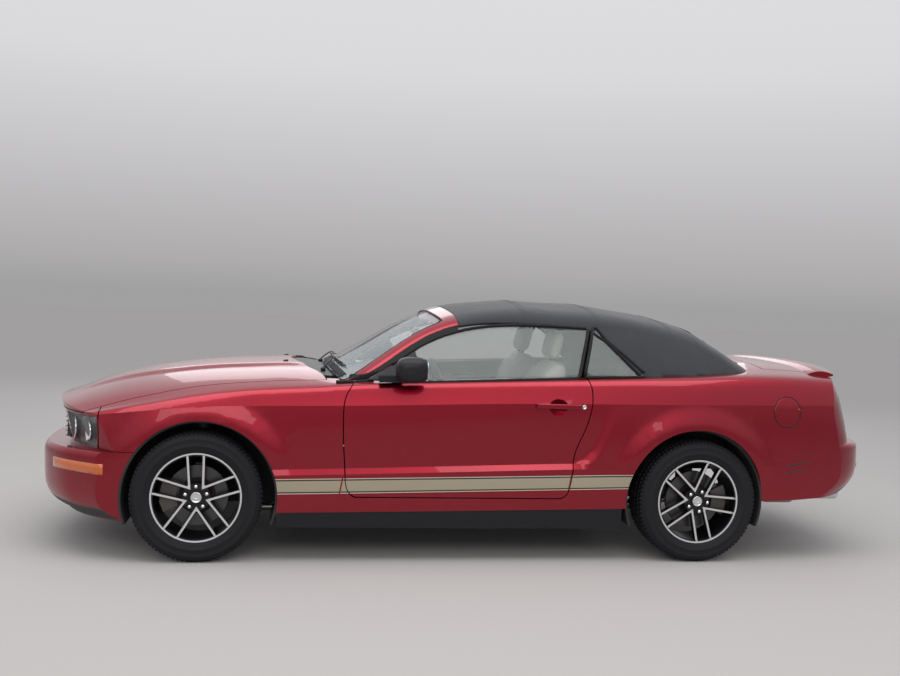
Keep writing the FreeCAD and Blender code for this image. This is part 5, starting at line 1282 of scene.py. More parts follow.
class DressWheels(CarOperator):
    """Finishes rims and discs and adds nuts and caps"""

    bl_idname = "car.dress_wheels"
    bl_label = "Dress wheels"

    def build(self, context):
        settings = look("car_wheels")
        nuts = self.nut_recipe()
        for name, (end, side) in WHEELS.items():
            centre = middle(f"tyre_{name}")
            rim_finish(f"rim_{name}_finish", centre, RIM_TURNS[end])
            disc_finish(f"disc_{name}_finish", centre)
            coat_nodes(f"rim_{name}_finish", f"rim_{name}")
            coat_nodes(f"disc_{name}_finish", f"disc_{name}")
            face = Skin(f"rim_{name}")
            spot = face.side(centre.x, centre.z, side)
            cap = ring([(0.0275, -0.004), (0.0285, 0.0), (0.0275, 0.0022), (0.0245, 0.0034), (0.0238, 0.0024),
                        (0.0105, 0.0040), (TIP, 0.0046), (TIP, -0.004)])
            cap.transform(Matrix.Scale(side, 4, (0, 1, 0)))
            outward(cap).transform(Matrix.Translation(spot))
            new_piece(f"wheel_cap_{name}", cap, f"wheel_{name}", "bright_metal")
            first = math.tau * (RIM_TURNS[end] - 0.25 + 0.5 / SPOKE_PAIRS)
            spot = face.side(centre.x + settings.nut_circle * math.cos(first),
                             centre.z + settings.nut_circle * math.sin(first), side)
            nuts.make(f"wheel_nuts_{name}", f"wheel_{name}", "bright_metal", Nuts=settings.nuts,
                      Circle=settings.nut_circle, Start=-first, Centre=(centre.x, spot.y + side * 0.004, centre.z))

    def nut_recipe(self):
        """Six-sided nuts with a domed end, set round a circle half way between two pairs of spokes."""
        recipe = Recipe("nuts", Nuts=5, Circle=0.0572, Start=0.0, Centre=(0.0, 0.0, 0.0))
        start = recipe.node("ShaderNodeCombineXYZ", inputs={1: recipe.given("Start")})
        circle = recipe.moved(recipe.turned(recipe.circle("Nuts", "Circle"), math.pi / 2), Rotation=start)
        spots = recipe.node("GeometryNodeCurveToPoints", {"mode": "EVALUATED"}, {0: circle})
        dome = recipe.node("GeometryNodeMeshUVSphere", inputs={"Segments": 18, "Rings": 8, "Radius": 0.0092})
        nut = recipe.turned(recipe.merged([recipe.cylinder(6, 0.0105, 0.016), dome]), math.pi / 2)
        recipe.close(recipe.moved(recipe.set_on(spots, nut), Translation=recipe.given("Centre")))
        return recipe


BOWL_HEIGHT = 0.652
BOWLS = ((0.600, 0.060), (0.735, 0.052))


class FitLamps(CarOperator):
    """Builds head lamps, side markers and tail lenses"""

    bl_idname = "car.fit_lamps"
    bl_label = "Fit lamps"

    def build(self, context):
        glass_finish("lamp_glass", (0.55, 0.60, 0.64), 0.05)
        lens_finish("amber_lens", (0.78, 0.17, 0.008), 900.0, 0.10)
        lens_finish("tail_lens", (0.30, 0.004, 0.010), 300.0)
        plastic_finish("lamp_shell", (0.045, 0.042, 0.045), 0.35, Coat_Weight=0.5)
        metal_finish("lamp_mirror", (0.80, 0.80, 0.82), 0.10)
        coat_nodes("tail_lens", "tail_lights")
        lenses, shells, bowls, markers, bulbs = [], [], [], [], []
        skin = Skin("front_lamps")
        for part in solid_parts("front_lamps"):
            zs = [v.co.z for v in part.vertices]
            side = 1.0 if sum(v.co.y for v in part.vertices) > 0 else -1.0
            if max(zs) - min(zs) < 0.09:
                markers.append(part)
                continue
            out = Vector((-1.0, 0.75 * side, 0.0)).normalized()

            def outer(normal):
                return max(abs(k) for k in normal) < 0.9985 and normal.dot(out) > 0.2

            lenses.append(walled(chosen_faces(part, outer), 0.0025))
            shells.append(walled(chosen_faces(part, lambda n: not outer(n), True), 0.0018, 1.0))
            starts = [(-BEHIND, side * y, BOWL_HEIGHT) for y, _ in BOWLS]
            for spot, normal, (_, radius) in zip(*skin.hits(starts, ASTERN), BOWLS):
                way = Vector((normal.x, normal.y * 0.5, 0)).normalized()
                bowl = ring([(radius, 0.0), (radius + 0.003, 0.001), (radius + 0.003, -0.006), (radius - 0.004, -0.012),
                             (radius * 0.55, -0.0165), (0.012, -0.0175), (0.012, -0.0160), (radius * 0.55, -0.0150),
                             (radius - 0.008, -0.0100)])
                bowls.append(aimed(bowl, spot - way * 0.006, way))
                bulb = ring([(TIP, 0.0), (0.008, -0.002), (0.013, -0.008), (0.013, -0.012), (TIP, -0.012)], 24)
                bulbs.append(aimed(bulb, spot - way * 0.011, way))
        lens = new_piece("head_lamp_lenses", lenses, "chassis", "lamp_glass")
        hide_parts("front_lamps")
        new_piece("head_lamp_shells", shells, "chassis", "lamp_shell")
        new_piece("head_lamp_mirrors", bowls, "chassis", "lamp_mirror")
        new_piece("head_lamp_bulbs", bulbs, "chassis", "lamp_glass")
        new_piece("side_marker_lenses", markers, "chassis", "amber_lens")
        frames = []
        skin = Skin("tail_lights", "body_sides", "trunk_lid")
        for part in solid_parts("tail_lights"):
            (y0, y1), (z0, z1) = ((min(v.co[k] for v in part.vertices), max(v.co[k] for v in part.vertices))
                                  for k in (1, 2))
            corners = [Vector((BEHIND, y, z)) for y, z in ((y0, z0), (y1, z0), (y1, z1), (y0, z1))]
            starts = [p for a, b in zip(corners, corners[1:] + corners[:1]) for p in spread(a, b, 7)[:-1]]
            frames.append(tube(laid(skin, starts, AHEAD, 0.001), 0.0045, "frame", 6, closed=True))
        new_piece("tail_lamp_frames", frames, "chassis", "gloss_black")


class TrimOutside(CarOperator):
    """Fits seals, mirror glass, locks, fuel lid, wipers, jets, plate and the painted shade of the bumper slits"""

    bl_idname = "car.trim_outside"
    bl_label = "Trim outside"

    def build(self, context):
        metal_finish("mirror_glass", (0.62, 0.66, 0.70), 0.04)
        # Painted shade: dark crimson that stands for the shade inside the bumper slits
        plastic_finish("slit_shadow", (0.030, 0.002, 0.005), 0.30, Coat_Weight=0.5)
        plastic_finish("plate_white", (0.52, 0.52, 0.50), 0.38, Coat_Weight=0.4)
        for side_name, side in SIDES.items():
            self.mirror(side_name, side)
            self.lock(side_name, side)
            self.slits(side_name, side)
        self.screen_seals()
        self.fuel_lid()
        self.tail_pipe()
        self.wipers()
        self.plate()

    def mirror(self, side_name, side):
        """Glass set in the back of the mirror pod."""
        y, z, half, count = 0.942, 1.031, 0.047, 48
        spot, _ = Skin(f"mirror_{side_name}").hit((place(1400), side * 0.945, z), AHEAD)
        points = []
        for share, lift in ((1.0, 0.0012), (0.92, 0.0022)):
            for k in range(count):
                c, s = (math.copysign(abs(part) ** 0.6, part) for part in (math.cos(math.tau * k / count),
                                                                           math.sin(math.tau * k / count)))
                points.append(Vector((spot.x + lift, side * (y + half * share * c), z + half * share * s)))
        points += [p - Vector((0.004, 0, 0)) for p in points[:count]]
        faces = grid_faces(2, count, False, True)
        faces += [tuple(range(count, 2 * count)), tuple(range(2 * count, 3 * count))]
        faces += [(k, (k + 1) % count, 2 * count + (k + 1) % count, 2 * count + k) for k in range(count)]
        new_piece(f"mirror_glass_{side_name}", outward(mesh_from("glass", points, faces)), f"door_{side_name}",
                  "mirror_glass")

    def lock(self, side_name, side):
        spot = Skin(f"door_{side_name}").side(place(2040), 0.852, side)
        lock = ring([(0.0115, -0.003), (0.0125, 0.0010), (0.0115, 0.0028), (0.0080, 0.0032), (0.0076, 0.0022),
                     (0.0016, 0.0022), (TIP, 0.0016), (TIP, -0.003)], 32)
        new_piece(f"door_lock_{side_name}", aimed(lock, spot, (0, side, 0.02)), f"door_{side_name}", "bright_metal")

    def slits(self, side_name, side):
        """Painted shade: thin dark crimson strips on the flank of the rear bumper stand for the shade in its slits; and
        the bumper's rear reflector.
        """
        skin = Skin("rear_bumper")
        strips = []
        for (xa, za), (xb, zb), width in (((3236, 0.541), (3403, 0.563), 0.011), ((3232, 0.501), (3381, 0.517), 0.009)):
            shares = spread(0, 1, 16)
            starts = [(place(xa + (xb - xa) * t), side * BESIDE, za + (zb - za) * t) for t in shares]
            points, normals = skin.hits(starts, (0, -side, 0))
            widths = [width * max(0.15, math.sin(math.pi * min(1.0, 0.06 + t * 0.94)) ** 0.45) for t in shares]
            strips.append(ribbon(points, normals, widths, "slit"))
        # Painted shade of the bumper slits, laid on the bumper as thin strips
        new_piece(f"bumper_slit_shade_{side_name}", strips, "chassis", "slit_shadow")
        points, normals = skin.hits([(BEHIND, side * (0.50 + 0.018 * k), 0.520) for k in range(10)], AHEAD)
        new_piece(f"rear_reflector_{side_name}", ribbon(points, normals, [0.026] * len(points), "glow", 0.003),
                  "chassis", "tail_lens")

    def tail_pipe(self):
        """Bright sleeve round the end of the tail pipe."""
        sleeve = ring([(0.0338, 0.000), (0.0338, 0.176), (0.0352, 0.182), (0.0375, 0.184), (0.0390, 0.180),
                       (0.0392, 0.012), (0.0380, 0.0)])
        new_piece("tail_pipe_sleeve", aimed(sleeve, (2.0875, -0.505, 0.3221), ASTERN), "chassis", "bright_metal")

    def screen_seals(self):
        """Rubber between windscreen, pillars and header, and the dark band at its foot."""
        screen = Skin("windshield")
        low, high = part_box("windshield")
        tuck, lift = 0.003, 0.002

        def edge(start, stop, y):
            step = math.copysign(EDGE_STEP, stop - start)
            return walked(start, stop, step, lambda x: screen.top(x, y) is not None) or stop

        loop = [screen.top(edge(high.x, low.x, y) - tuck, y, lift) for y in spread(-0.70, 0.70, 40)]
        new_piece("screen_top_seal", tube([p for p in loop if p is not None], 0.0045, "seal", 8, flat=0.5), "chassis",
                  "top_seal")
        for side_name, side in SIDES.items():
            line = []
            for x in map(place, spread(690, 1290, 50)):
                y = walked(0.78, 0.35, -EDGE_STEP, lambda y: screen.top(x, side * y) is not None)
                where = None if y is None else screen.top(x, side * (y - tuck), lift)
                if where is not None:
                    line.append(where)
            new_piece(f"screen_side_seal_{side_name}", tube(smooth_path(line[::3], 3), 0.0045, "seal", 8, flat=0.5),
                      "chassis", "top_seal")
        points, normals = screen.hits([(edge(low.x, high.x, y) + 0.022, y, ABOVE) for y in spread(-0.69, 0.69, 60)],
                                      DOWN)
        new_piece("screen_base_band", ribbon(points, normals, [0.042] * len(points), "band"), "chassis", "top_seal")

    def fuel_lid(self):
        """Round lid with a dark joint and a small raised bead, on the left flank."""
        skin = Skin("body_sides")
        x0, z0, radius, count = place(3235), 0.846, 0.084, 64

        def circle(share, lift, steps):
            return [skin.side(x0 + radius * share * math.cos(math.tau * k / steps),
                              z0 + radius * share * math.sin(math.tau * k / steps), -1.0, lift) for k in range(steps)]

        levels = [(1.0, -0.002), (0.985, 0.0012), (0.955, 0.0020)]
        levels += [(share, 0.0022) for share in (0.84, 0.60, 0.34, 0.15, 0.02)]
        rows = [circle(share, lift, count) for share, lift in levels]
        faces = grid_faces(len(rows), count, False, True)
        faces.append(tuple(range((len(rows) - 1) * count, len(rows) * count)))
        lid = outward(mesh_from("lid", [p for row in rows for p in row], faces), (0, -1, 0))
        new_piece("fuel_lid", walled(lid, 0.0012), "chassis", "body_paint")
        new_piece("fuel_lid_joint", tube(circle(1.012, 0.0002, 72), 0.0026, "joint", 8, closed=True), "chassis",
                  "seal_rubber")
        bead = ring([(TIP, 0.009), (0.006, 0.008), (0.010, 0.0045), (0.011, 0.0), (TIP, -0.001)], 28)
        spot = skin.side(x0 + radius * 0.84, z0 + radius * 0.14, -1.0, 0.0015)
        new_piece("fuel_lid_bead", aimed(bead, spot, (0, -1, 0.05)), "chassis", "body_paint")

    def wipers(self):
        """Two arms with their blades on the windscreen, and two jets on the hood."""
        screen, hood, cowl = Skin("windshield"), Skin("hood"), Skin("cowl")
        parts, rubber = [], []
        for pivot_y, start_y, stop_y in ((-0.44, -0.560, -0.040), (0.14, 0.000, 0.500)):
            pivot = cowl.top(place(640), pivot_y, 0.010)
            points, normals = screen.hits([(place(706 + 185 * y * y), y, ABOVE) for y in spread(start_y, stop_y, 24)],
                                          DOWN)
            blade = [where + normal * 0.0065 for where, normal in zip(points, normals)]
            lifted = [where + normal * (0.013 + 0.006 * math.sin(math.pi * k / 23))
                      for k, (where, normal) in enumerate(zip(points, normals))]
            centre = lifted[len(lifted) // 2]
            rubber.append(tube(blade, 0.0035, "blade", 6))
            knee = pivot.lerp(centre, 0.5) + Vector((0.0, 0.0, 0.010))
            arm = smooth_path([pivot + Vector((0, 0, 0.006)), knee, centre + Vector((0, 0, 0.004))])
            boss = ring([(0.014, -0.012), (0.014, 0.004), (0.010, 0.008), (TIP, 0.009), (TIP, -0.012)], 24)
            parts += [tube(lifted[3:-3], 0.0036, "bridge", 6), tube(arm, 0.0055, "arm", 8, flat=0.7),
                      aimed(boss, pivot, (-0.15, 0, 1))]
        jets = []
        for y in (-0.27, 0.27):
            spot = hood.top(place(430), y)
            jet = bevelled_box((-0.014, -0.010, -0.003), (0.014, 0.010, 0.007), 0.003)
            jet.transform(Matrix.Translation(spot) @ Matrix.Rotation(-0.1, 4, "Y"))
            jets.append(jet)
        new_piece("wiper_arms", parts, "chassis", "satin_black")
        new_piece("wiper_blades", rubber, "chassis", "seal_rubber")
        new_piece("washer_jets", jets, "hood", "gloss_black")

    def plate(self):
        """Blank plate on its two screws, in the recess of the rear bumper."""
        spot, _ = Skin("rear_bumper").hit((BEHIND, 0.0, 0.54), AHEAD)
        x = spot.x
        plate = bevelled_box((x + 0.0005, -0.152, 0.460), (x + 0.0025, 0.152, 0.601), 0.0009, 2)
        corners = [Vector((x + 0.003, y, z)) for y, z in ((-0.148, 0.464), (0.148, 0.464), (0.148, 0.597),
                                                          (-0.148, 0.597))]
        rim = [p for a, b in zip(corners, corners[1:] + corners[:1]) for p in spread(a, b, 9)[:-1]]
        new_piece("rear_plate", [plate, tube(rim, 0.0016, "rim", 6, closed=True)], "chassis", "plate_white")
        recipe = Recipe("screws", Spacing=0.178, Radius=0.0060, Centre=(0.0, 0.0, 0.0))
        ends = []
        for share in (-0.5, 0.5):
            half = recipe.node("ShaderNodeMath", {"operation": "MULTIPLY"}, {0: recipe.given("Spacing"), 1: share})
            ends.append(recipe.node("ShaderNodeCombineXYZ", inputs={1: half}))
        line = recipe.node("GeometryNodeMeshLine", {"mode": "END_POINTS"}, {
            "Count": 2, "Start Location": ends[0], "Offset": ends[1]})
        head = recipe.turned(recipe.cylinder(20, recipe.given("Radius"), 0.003), about_y=math.pi / 2)
        recipe.close(recipe.moved(recipe.set_on(line, head), Translation=recipe.given("Centre")))
        recipe.make("rear_plate_screws", "chassis", "bright_metal", Centre=(x + 0.0035, 0.0, 0.578))


class TrimCabin(CarOperator):
    """Builds the padded seats with their seams, and the trim of dashboard, doors and floor"""

    bl_idname = "car.trim_cabin"
    bl_label = "Trim cabin"

    def build(self, context):
        settings = look("car_cabin")
        leather_finish("seat_leather", tuple(settings.leather))
        plastic_finish("dash_plastic", tuple(settings.plastic), 0.5)
        plastic_finish("seat_shell", (0.09, 0.09, 0.095), 0.55)
        plastic_finish("door_card", (0.26, 0.26, 0.24), 0.55)
        plastic_finish("dial_face", (0.012, 0.012, 0.013), 0.35)
        carpet = rubber_finish("carpet", (0.018, 0.018, 0.020))
        carpet.bump(carpet.noise(900.0, 4.0), 0.003, 0.9)
        metal_finish("satin_metal", (0.42, 0.42, 0.44), 0.30, brushed=True)
        rubber_finish("seat_thread", (0.34, 0.33, 0.30))
        coat_nodes("dash_plastic", "dashboard", "steering_wheel")
        self.front_seats()
        self.rear_seat()
        self.dashboard()
        self.wheel_trim()
        self.doors()
        self.small_things()

    def front_seats(self):
        """Two seats with bolsters, head rests on posts, seams and frames."""
        def groove(at, middle_at, width):
            return math.exp(-((at - middle_at) / width) ** 2)

        def bolster(v, height):
            return height * max(0.0, (abs(v) - 0.55) / 0.45) ** 1.2

        def base_form(u, v):
            channel = 0.010 * groove(abs(v), 0.60, 0.035) + 0.006 * groove(u, -0.25, 0.03)
            return bolster(v, 0.042) - channel - 0.018 * u - 0.004

        def back_form(u, v):
            lines = sum(groove(u, at, 0.02) for at in (-0.45, -0.05, 0.35))
            rise = bolster(v, 0.048) * (1 if u < 0.7 else max(0.0, (1 - u) / 0.3))
            return rise - 0.010 * groove(abs(v), 0.60, 0.035) - 0.004 * lines * (abs(v) < 0.6)

        lean = math.radians(16)
        upright = -(math.pi / 2)
        base = leaned(puffed(pillow((0.262, 0.224, 0.092), 5.0, base_form)), (place(1598), 0.0, 0.450), -0.10)
        back = leaned(puffed(pillow((0.292, 0.218, 0.058), 4.5, back_form, corner=0.10)),
                      (place(1830 + 300 * math.sin(lean)), 0.0, 0.800), upright + lean)
        rest = leaned(puffed(pillow((0.078, 0.130, 0.040), 3.0), voxel=0.005, cap=0.012),
                      (place(1984), 0.0, 1.166), upright + lean * 0.8)
        lines, posts, shells = [], [], []
        for side_name, side in SIDES.items():
            middle_y = side * SEAT_OFFSET
            pads = []
            for name, pad, fill in (("seat_base", base, 0.85), ("seat_back", back, 0.8), ("head_rest", rest, 0.9)):
                copy = pad.copy()
                copy.transform(Matrix.Translation((0, middle_y, 0)))
                pads.append(new_piece(f"front_{name}_{side_name}", copy, "chassis", "seat_leather"))
            if side_name == "left":
                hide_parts("front_seats")
            for y in (middle_y - 0.045, middle_y + 0.045):
                posts.append(tube([(place(1962), y, 1.070), (place(1985), y, 1.150)], 0.006, "post"))
            for v in (-0.60, 0.60):
                y = middle_y + v * 0.224
                lines.append(laid(Skin(pads[0].data), [(x, y, 1.0) for x in map(place, spread(1360, 1820, 41))], DOWN,
                                  0.0006))
                y = middle_y + v * 0.216
                lines.append(laid(Skin(pads[1].data), [(place(1200), y, z) for z in spread(0.56, 1.06, 41)], ASTERN,
                                  0.0006))
            for x0, x1, half, z0, z1, bevel in ((1400, 1790, 0.20, 0.300, 0.372, 0.015),
                                                (1420, 1480, 0.19, 0.222, 0.310, 0.008),
                                                (1690, 1750, 0.19, 0.222, 0.310, 0.008)):
                shells.append(bevelled_box((place(x0), middle_y - half, z0), (place(x1), middle_y + half, z1), bevel))
            panel = pillow((0.262, 0.196, 0.012), 4.0, count=(24, 20))
            shells.append(leaned(panel, (place(1930), middle_y, 0.775), upright + lean))
        sewn("seat_stitches", lines, "seat_thread")
        new_piece("head_rest_posts", posts, "chassis", "bright_metal")
        new_piece("seat_frames", shells, "chassis", "seat_shell")

    def rear_seat(self):
        """Bench with two places and its backrest."""
        def base_form(u, v):
            return 0.012 * math.cos(abs(v) * math.tau - math.pi) - 0.012 * math.exp(-(v / 0.05) ** 2)

        def back_form(u, v):
            return base_form(u, v) - 0.004 * sum(math.exp(-((u - at) / 0.03) ** 2) for at in (-0.35, 0.2))

        base = leaned(puffed(pillow((0.150, 0.545, 0.048), 4.5, base_form, count=(30, 60)), voxel=0.008),
                      (place(2445), 0.0, 0.553), -0.06)
        back = leaned(puffed(pillow((0.190, 0.540, 0.046), 4.5, back_form, count=(34, 60)), voxel=0.008),
                      (place(2643), 0.0, 0.745), -(math.pi / 2) + math.radians(8))
        for name, pad in (("rear_seat_base", base), ("rear_seat_back", back)):
            piece = new_piece(name, pad, "chassis", "seat_leather")
            if pad is base:
                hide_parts("rear_seat")

    def dashboard(self):
        """Instrument dials under their hood, vents and centre stack on the dashboard."""
        skin = Skin("dashboard")
        parts, metal, faces = [], [], []
        way = (1.0, 0.0, 0.25)
        for spot in skin.hits([(place(1400), y, 0.905) for y in (-0.470, -0.320)], AHEAD)[0]:
            metal.append(aimed(ring([(0.058, -0.004), (0.060, 0.006), (0.064, 0.008), (0.066, 0.004), (0.066, -0.004)]),
                               spot, way))
            faces.append(aimed(ring([(TIP, 0.001), (0.058, 0.001), (0.058, -0.004), (TIP, -0.004)]), spot, way))
            for k in range(21):
                long = k % 5 == 0
                mark = bevelled_box((-0.0006, 0.0012, 0.046), (0.0006, 0.0016, 0.0535 if long else 0.0500), 0.0002, 1)
                metal.append(aimed(mark, spot, way, math.radians(225 - 13.5 * k)))
            hand = bevelled_box((-0.0009, 0.0022, -0.010), (0.0009, 0.0034, 0.042), 0.0004, 1)
            metal.append(aimed(hand, spot, way, math.radians(-110)))
        hood = [(place(1175), -SEAT_OFFSET - 0.165 * math.cos(turn), 0.900 + 0.082 * math.sin(turn) ** 0.7)
                for turn in (math.pi * k / 16 for k in range(17))]
        parts.append(tube(hood, 0.012, "hood", 8, flat=0.6))
        way = (1, 0, 0.2)
        for spot in skin.hits([(place(1400), y, 0.885) for y in (-0.615, -0.075, 0.075, 0.615)], AHEAD)[0]:
            metal.append(aimed(ring([(0.034, -0.004), (0.035, 0.005), (0.039, 0.007), (0.041, 0.003), (0.041, -0.004)]),
                               spot, way))
            for z in spread(-0.022, 0.022, 5):
                slat = bevelled_box((-0.032, -0.002, z - 0.0012), (0.032, 0.004, z + 0.0012), 0.0005, 1)
                parts.append(aimed(slat, spot, way))
        spot, _ = skin.hit((place(1400), 0.0, 0.790), AHEAD)
        metal.append(bevelled_box((spot.x - 0.01, -0.118, 0.665), (spot.x + 0.006, 0.118, 0.848), 0.006))
        faces.append(bevelled_box((spot.x - 0.005, -0.098, 0.770), (spot.x + 0.010, 0.098, 0.832), 0.004))
        for y in (-0.070, 0.0, 0.070):
            knob = ring([(0.0190, -0.004), (0.0180, 0.014), (0.0160, 0.017), (TIP, 0.0175), (TIP, -0.004)], 28)
            parts.append(aimed(knob, (spot.x + 0.006, y, 0.712), ASTERN))
        new_piece("dash_trim", parts, "chassis", "dash_plastic")
        new_piece("dash_rings", metal, "chassis", "satin_metal")
        new_piece("dash_dials", faces, "chassis", "dial_face")

    def wheel_trim(self):
        """Centre pad with its ring on the steering wheel."""
        tilt = math.radians(24)
        centre, way = Vector((place(1340), -SEAT_OFFSET, 0.880)), Vector((math.cos(tilt), 0.0, math.sin(tilt)))
        spot, _ = Skin("steering_wheel").hit(centre + way * 0.4, -way)
        hub = spot or centre
        pad = pillow((0.062, 0.062, 0.012), 3.0, count=(20, 20))
        pad.transform(Matrix.Rotation(-math.pi / 2, 4, "X"))
        band = ring([(0.022, 0.010), (0.024, 0.0155), (0.026, 0.0155), (0.028, 0.010)], 40)
        new_piece("steering_pad", aimed(pad, hub + way * 0.002, way), "steering_wheel", "dash_plastic")
        new_piece("steering_ring", aimed(band, hub, way), "steering_wheel", "satin_metal")

    def doors(self):
        """Inner door panels with arm rest, pull and speaker ring."""
        columns, levels = 25, 15
        for side_name, side in SIDES.items():
            skin = Skin(f"door_{side_name}")
            points = []
            for i, x in enumerate(map(place, spread(930, 1990, columns))):
                for j, z in enumerate(spread(0.330, 0.900, levels)):
                    spot, _ = skin.hit((x, 0.0, z), (0, side, 0))
                    y = side * 0.78 if spot is None else spot.y
                    edge = min(1.0, min(i, columns - 1 - i, j, levels - 1 - j) / 2.0)
                    points.append((x, y - side * (0.001 + 0.010 * edge), z))
            panel = outward(mesh_from("panel", points, grid_faces(columns, levels)), (0, -side, 0))
            level = sum(y for _, y, _ in points) / len(points)
            new_piece(f"door_panel_{side_name}", walled(panel, 0.001), f"door_{side_name}", "door_card")
            y0, y1 = sorted((level - side * 0.028, level + side * 0.017))
            arm = bevelled_box((place(1330), y0, 0.605), (place(1790), y1, 0.650), 0.012)
            new_piece(f"arm_rest_{side_name}", arm, f"door_{side_name}", "seat_leather")
            pull = smooth_path([(place(x), level - side * off, z) for x, off, z in (
                (1230, 0.004, 0.74), (1240, 0.022, 0.75), (1300, 0.022, 0.76), (1312, 0.004, 0.76))], 6)
            cone = ring([(0.062, -0.002), (0.064, 0.005), (0.070, 0.006), (0.074, 0.002), (0.074, -0.002)])
            new_piece(f"door_pull_{side_name}",
                      [tube(pull, 0.007, "pull", 8),
                       aimed(cone, (place(1090), level - side * 0.008, 0.46), (0, -side, 0))],
                      f"door_{side_name}", "satin_metal")

    def small_things(self):
        """Gear lever, hand brake, inner mirror, sun visors and floor mats."""
        spot = Skin("dashboard").top(place(1330), 0.0) or Vector((place(1330), 0.0, 0.60))
        lever = tube([spot + Vector((x, 0, z)) for x, z in ((0, -0.01), (0.004, 0.05), (0.002, 0.10))], 0.006, "lever")
        knob = ring([(TIP, -0.024), (0.014, -0.022), (0.021, -0.008), (0.023, 0.006), (0.018, 0.018), (TIP, 0.022)], 28)
        boot = ring([(0.044, 0.0), (0.040, 0.006), (0.028, 0.018), (0.022, 0.024), (0.012, 0.046), (TIP, 0.048),
                     (TIP, 0.0)], 28)
        brake = smooth_path([(place(x), 0.055, spot.z + z) for x, z in ((1560, 0.01), (1500, 0.05), (1420, 0.075))])
        parts = [aimed(knob, spot + Vector((0.002, 0, 0.118)), (0.05, 0, 1)), aimed(boot, spot, (0, 0, 1)),
                 tube(brake, 0.015, "brake")]
        fix, _ = Skin("windshield").hit((place(1230), 0.0, 0.9), (-0.25, 0, 1))
        centre = fix + Vector((0.075, 0.0, -0.075))
        mirror = pillow((0.115, 0.032, 0.010), 3.2, count=(24, 14))
        mirror.transform(Matrix.Translation(centre) @ Matrix.Rotation(math.pi / 2 + 0.15, 4, "Y")
                         @ Matrix.Rotation(math.pi / 2, 4, "Z"))
        stem = [fix + Vector((0, 0, -0.004)), fix + Vector((0.02, 0, -0.05)), centre]
        new_piece("cabin_levers", [*parts, mirror, tube(stem, 0.006, "stem", 8)], "chassis", "dash_plastic")
        new_piece("gear_lever", lever, "chassis", "bright_metal")
        visors = [leaned(pillow((0.075, 0.185, 0.008), 4.0, count=(18, 26)), (place(1375), side * 0.30, 1.292), 0.22)
                  for side in SIDES.values()]
        new_piece("sun_visors", visors, "chassis", "seat_shell")
        mats = []
        ground = Skin("floor_pan", "dashboard")
        for side in SIDES.values():
            for ends in ((1010, 1330), (1960, 2250)):
                points = []
                for x in map(place, spread(*ends, 9)):
                    for y in spread(side * 0.20, side * 0.58, 9):
                        where, _ = ground.hit((x, y, 0.62), DOWN)
                        points.append((x, y, (0.22 if where is None else where.z) + 0.004))
                sheet = outward(mesh_from("mat", points, grid_faces(9, 9)), (0, 0, 1))
                mats.append(walled(sheet, 0.006, 1.0))
        new_piece("floor_mats", mats, "chassis", "carpet")


# Camera fitted to the photograph: place, (yaw, pitch, roll) and sensor; the wall's shades; the soft lamps
CAMERA_PLACE, CAMERA_TURN, SENSOR_WIDTH = (-1.0272, -6.11975, 1.4106), (-0.1564, 0.0391, -0.0389), 36.0
WALL = ((0.0, (0.36, 0.355, 0.355)), (0.03, (0.42, 0.41, 0.415)), (0.22, (0.70, 0.69, 0.71)), (1.0, (0.98, 0.97, 1.0)))
LAMPS = (("lamp_top", (-0.4, -1.6, 5.2), (8.0, 3.4), 190.0, (1.0, 0.98, 0.97)),
         ("lamp_near", (-1.5, -8.5, 4.6), (9.0, 2.6), 150.0, (1.0, 0.98, 0.96)),
         ("lamp_far", (1.0, 7.5, 4.2), (9.0, 3.0), 90.0, (0.95, 0.97, 1.0)))
LAMP_AIM = Vector((0.0, 0.0, 0.6))


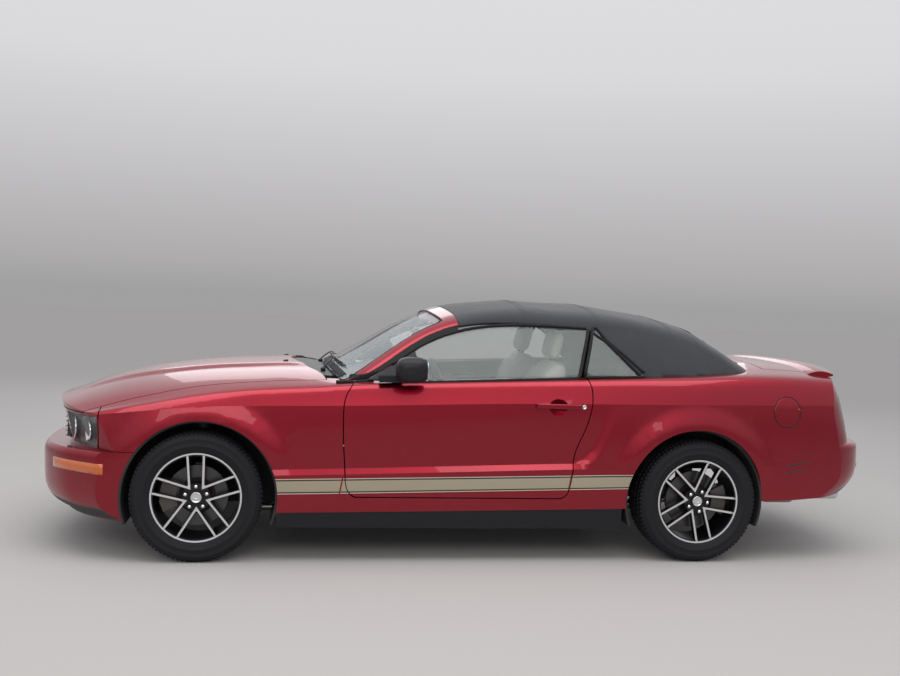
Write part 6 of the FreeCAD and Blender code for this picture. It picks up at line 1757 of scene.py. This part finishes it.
class SetStudio(CarOperator):
    """Lays the floor, hangs the soft lamps and stands the camera at the photograph's place"""

    bl_idname = "car.set_studio"
    bl_label = "Set studio"

    def build(self, context):
        settings = look("car_studio")
        self.floor(tuple(settings.floor))
        self.world(settings.light)
        for name, where, size, power, colour in LAMPS:
            light = bpy.data.lights.new(name, "AREA")
            light.shape = "RECTANGLE"
            light.size, light.size_y = size
            light.energy = power
            light.color = colour
            lamp = bpy.data.objects.new(name, light)
            lamp.location = where
            lamp.rotation_mode = "QUATERNION"
            lamp.rotation_quaternion = (LAMP_AIM - Vector(where)).to_track_quat("-Z", "Y")
            context.scene.collection.objects.link(lamp)
        self.camera(settings.lens)
        context.scene.view_settings.view_transform = "Standard"

    def floor(self, colour):
        ground = Finish("studio_floor", colour, 0.85)
        ground.set(Base_Color=ground.mottled(colour, ground.noise(120.0, 4.0), 0.96, 1.03))
        mesh = mesh_from("studio_floor", [(-40, -40, 0), (40, -40, 0), (40, 60, 0), (-40, 60, 0)], [(0, 1, 2, 3)])
        piece = bpy.data.objects.new("studio_floor", mesh)
        mesh.materials.append(ground.material)
        bpy.context.scene.collection.objects.link(piece)

    def world(self, strength):
        """Even light from all round, while the camera and reflections see a wall that grows lighter upwards."""
        world = bpy.data.worlds.new("studio_air")
        bpy.context.scene.world = world
        world.use_nodes = True
        air = Tree(world.node_tree)
        out = air.tree.nodes.new("ShaderNodeOutputWorld")
        way = air.node("ShaderNodeTexCoord", output="Generated")
        height = air.node("ShaderNodeSeparateXYZ", inputs={0: way}, output=2)
        wall = air.node("ShaderNodeValToRGB", {"stops": WALL}, {0: height})
        lit = air.node("ShaderNodeBackground", inputs={"Color": (1.0, 0.99, 1.0, 1.0), "Strength": strength})
        seen = air.node("ShaderNodeBackground", inputs={"Color": wall})
        rays = air.node("ShaderNodeLightPath").node.outputs
        direct = rays["Is Camera Ray"]
        for other in ("Is Glossy Ray", "Is Transmission Ray"):
            direct = air.node("ShaderNodeMath", {"operation": "MAXIMUM"}, {0: direct, 1: rays[other]})
        air.feed(out.inputs["Surface"], air.node("ShaderNodeMixShader", inputs={0: direct, 1: lit, 2: seen}))

    def camera(self, lens):
        data = bpy.data.cameras.new("camera")
        data.sensor_width = SENSOR_WIDTH
        data.lens = lens
        camera = bpy.data.objects.new("camera", data)
        yaw, pitch, roll = CAMERA_TURN
        ahead = Vector((-math.sin(yaw) * math.cos(pitch), math.cos(yaw) * math.cos(pitch), -math.sin(pitch)))
        right = Vector((math.cos(yaw), math.sin(yaw), 0.0))
        down = ahead.cross(right)
        turned_right = right * math.cos(roll) + down * math.sin(roll)
        turned_down = down * math.cos(roll) - right * math.sin(roll)
        axes = Matrix((turned_right, -turned_down, -ahead)).transposed()
        camera.matrix_world = Matrix.Translation(CAMERA_PLACE) @ axes.to_4x4()
        bpy.context.scene.collection.objects.link(camera)
        bpy.context.scene.camera = camera


OPERATORS = (PaintBody, FitUnderside, GlazeWindows, CoverTop, ShoeWheels, DressWheels, FitLamps, TrimOutside, TrimCabin,
             SetStudio)


class CarPanel(bpy.types.Panel):
    """Lists the steps that dress the car"""

    bl_idname = "VIEW3D_PT_car_dressing"
    bl_label = "Car dressing"
    bl_space_type = "VIEW_3D"
    bl_region_type = "UI"
    bl_category = "Car"

    def draw(self, context):
        for name, group in LOOKS.items():
            box = self.layout.box()
            for label in group.__annotations__:
                box.prop(getattr(context.scene, name), label)
        for operator in OPERATORS:
            self.layout.operator(operator.bl_idname)


def register():
    for group in LOOKS.values():
        bpy.utils.register_class(group)
    for operator in OPERATORS:
        bpy.utils.register_class(operator)
    bpy.utils.register_class(CarPanel)
    for name, group in LOOKS.items():
        setattr(bpy.types.Scene, name, bpy.props.PointerProperty(type=group))


def unregister():
    for name in LOOKS:
        delattr(bpy.types.Scene, name)
    bpy.utils.unregister_class(CarPanel)
    for operator in reversed(OPERATORS):
        bpy.utils.unregister_class(operator)
    for group in reversed(list(LOOKS.values())):
        bpy.utils.unregister_class(group)


def main():
    register()
    for operator in OPERATORS:
        family, step = operator.bl_idname.split(".")
        getattr(getattr(bpy.ops, family), step)()


if __name__ == "__main__":
    main()
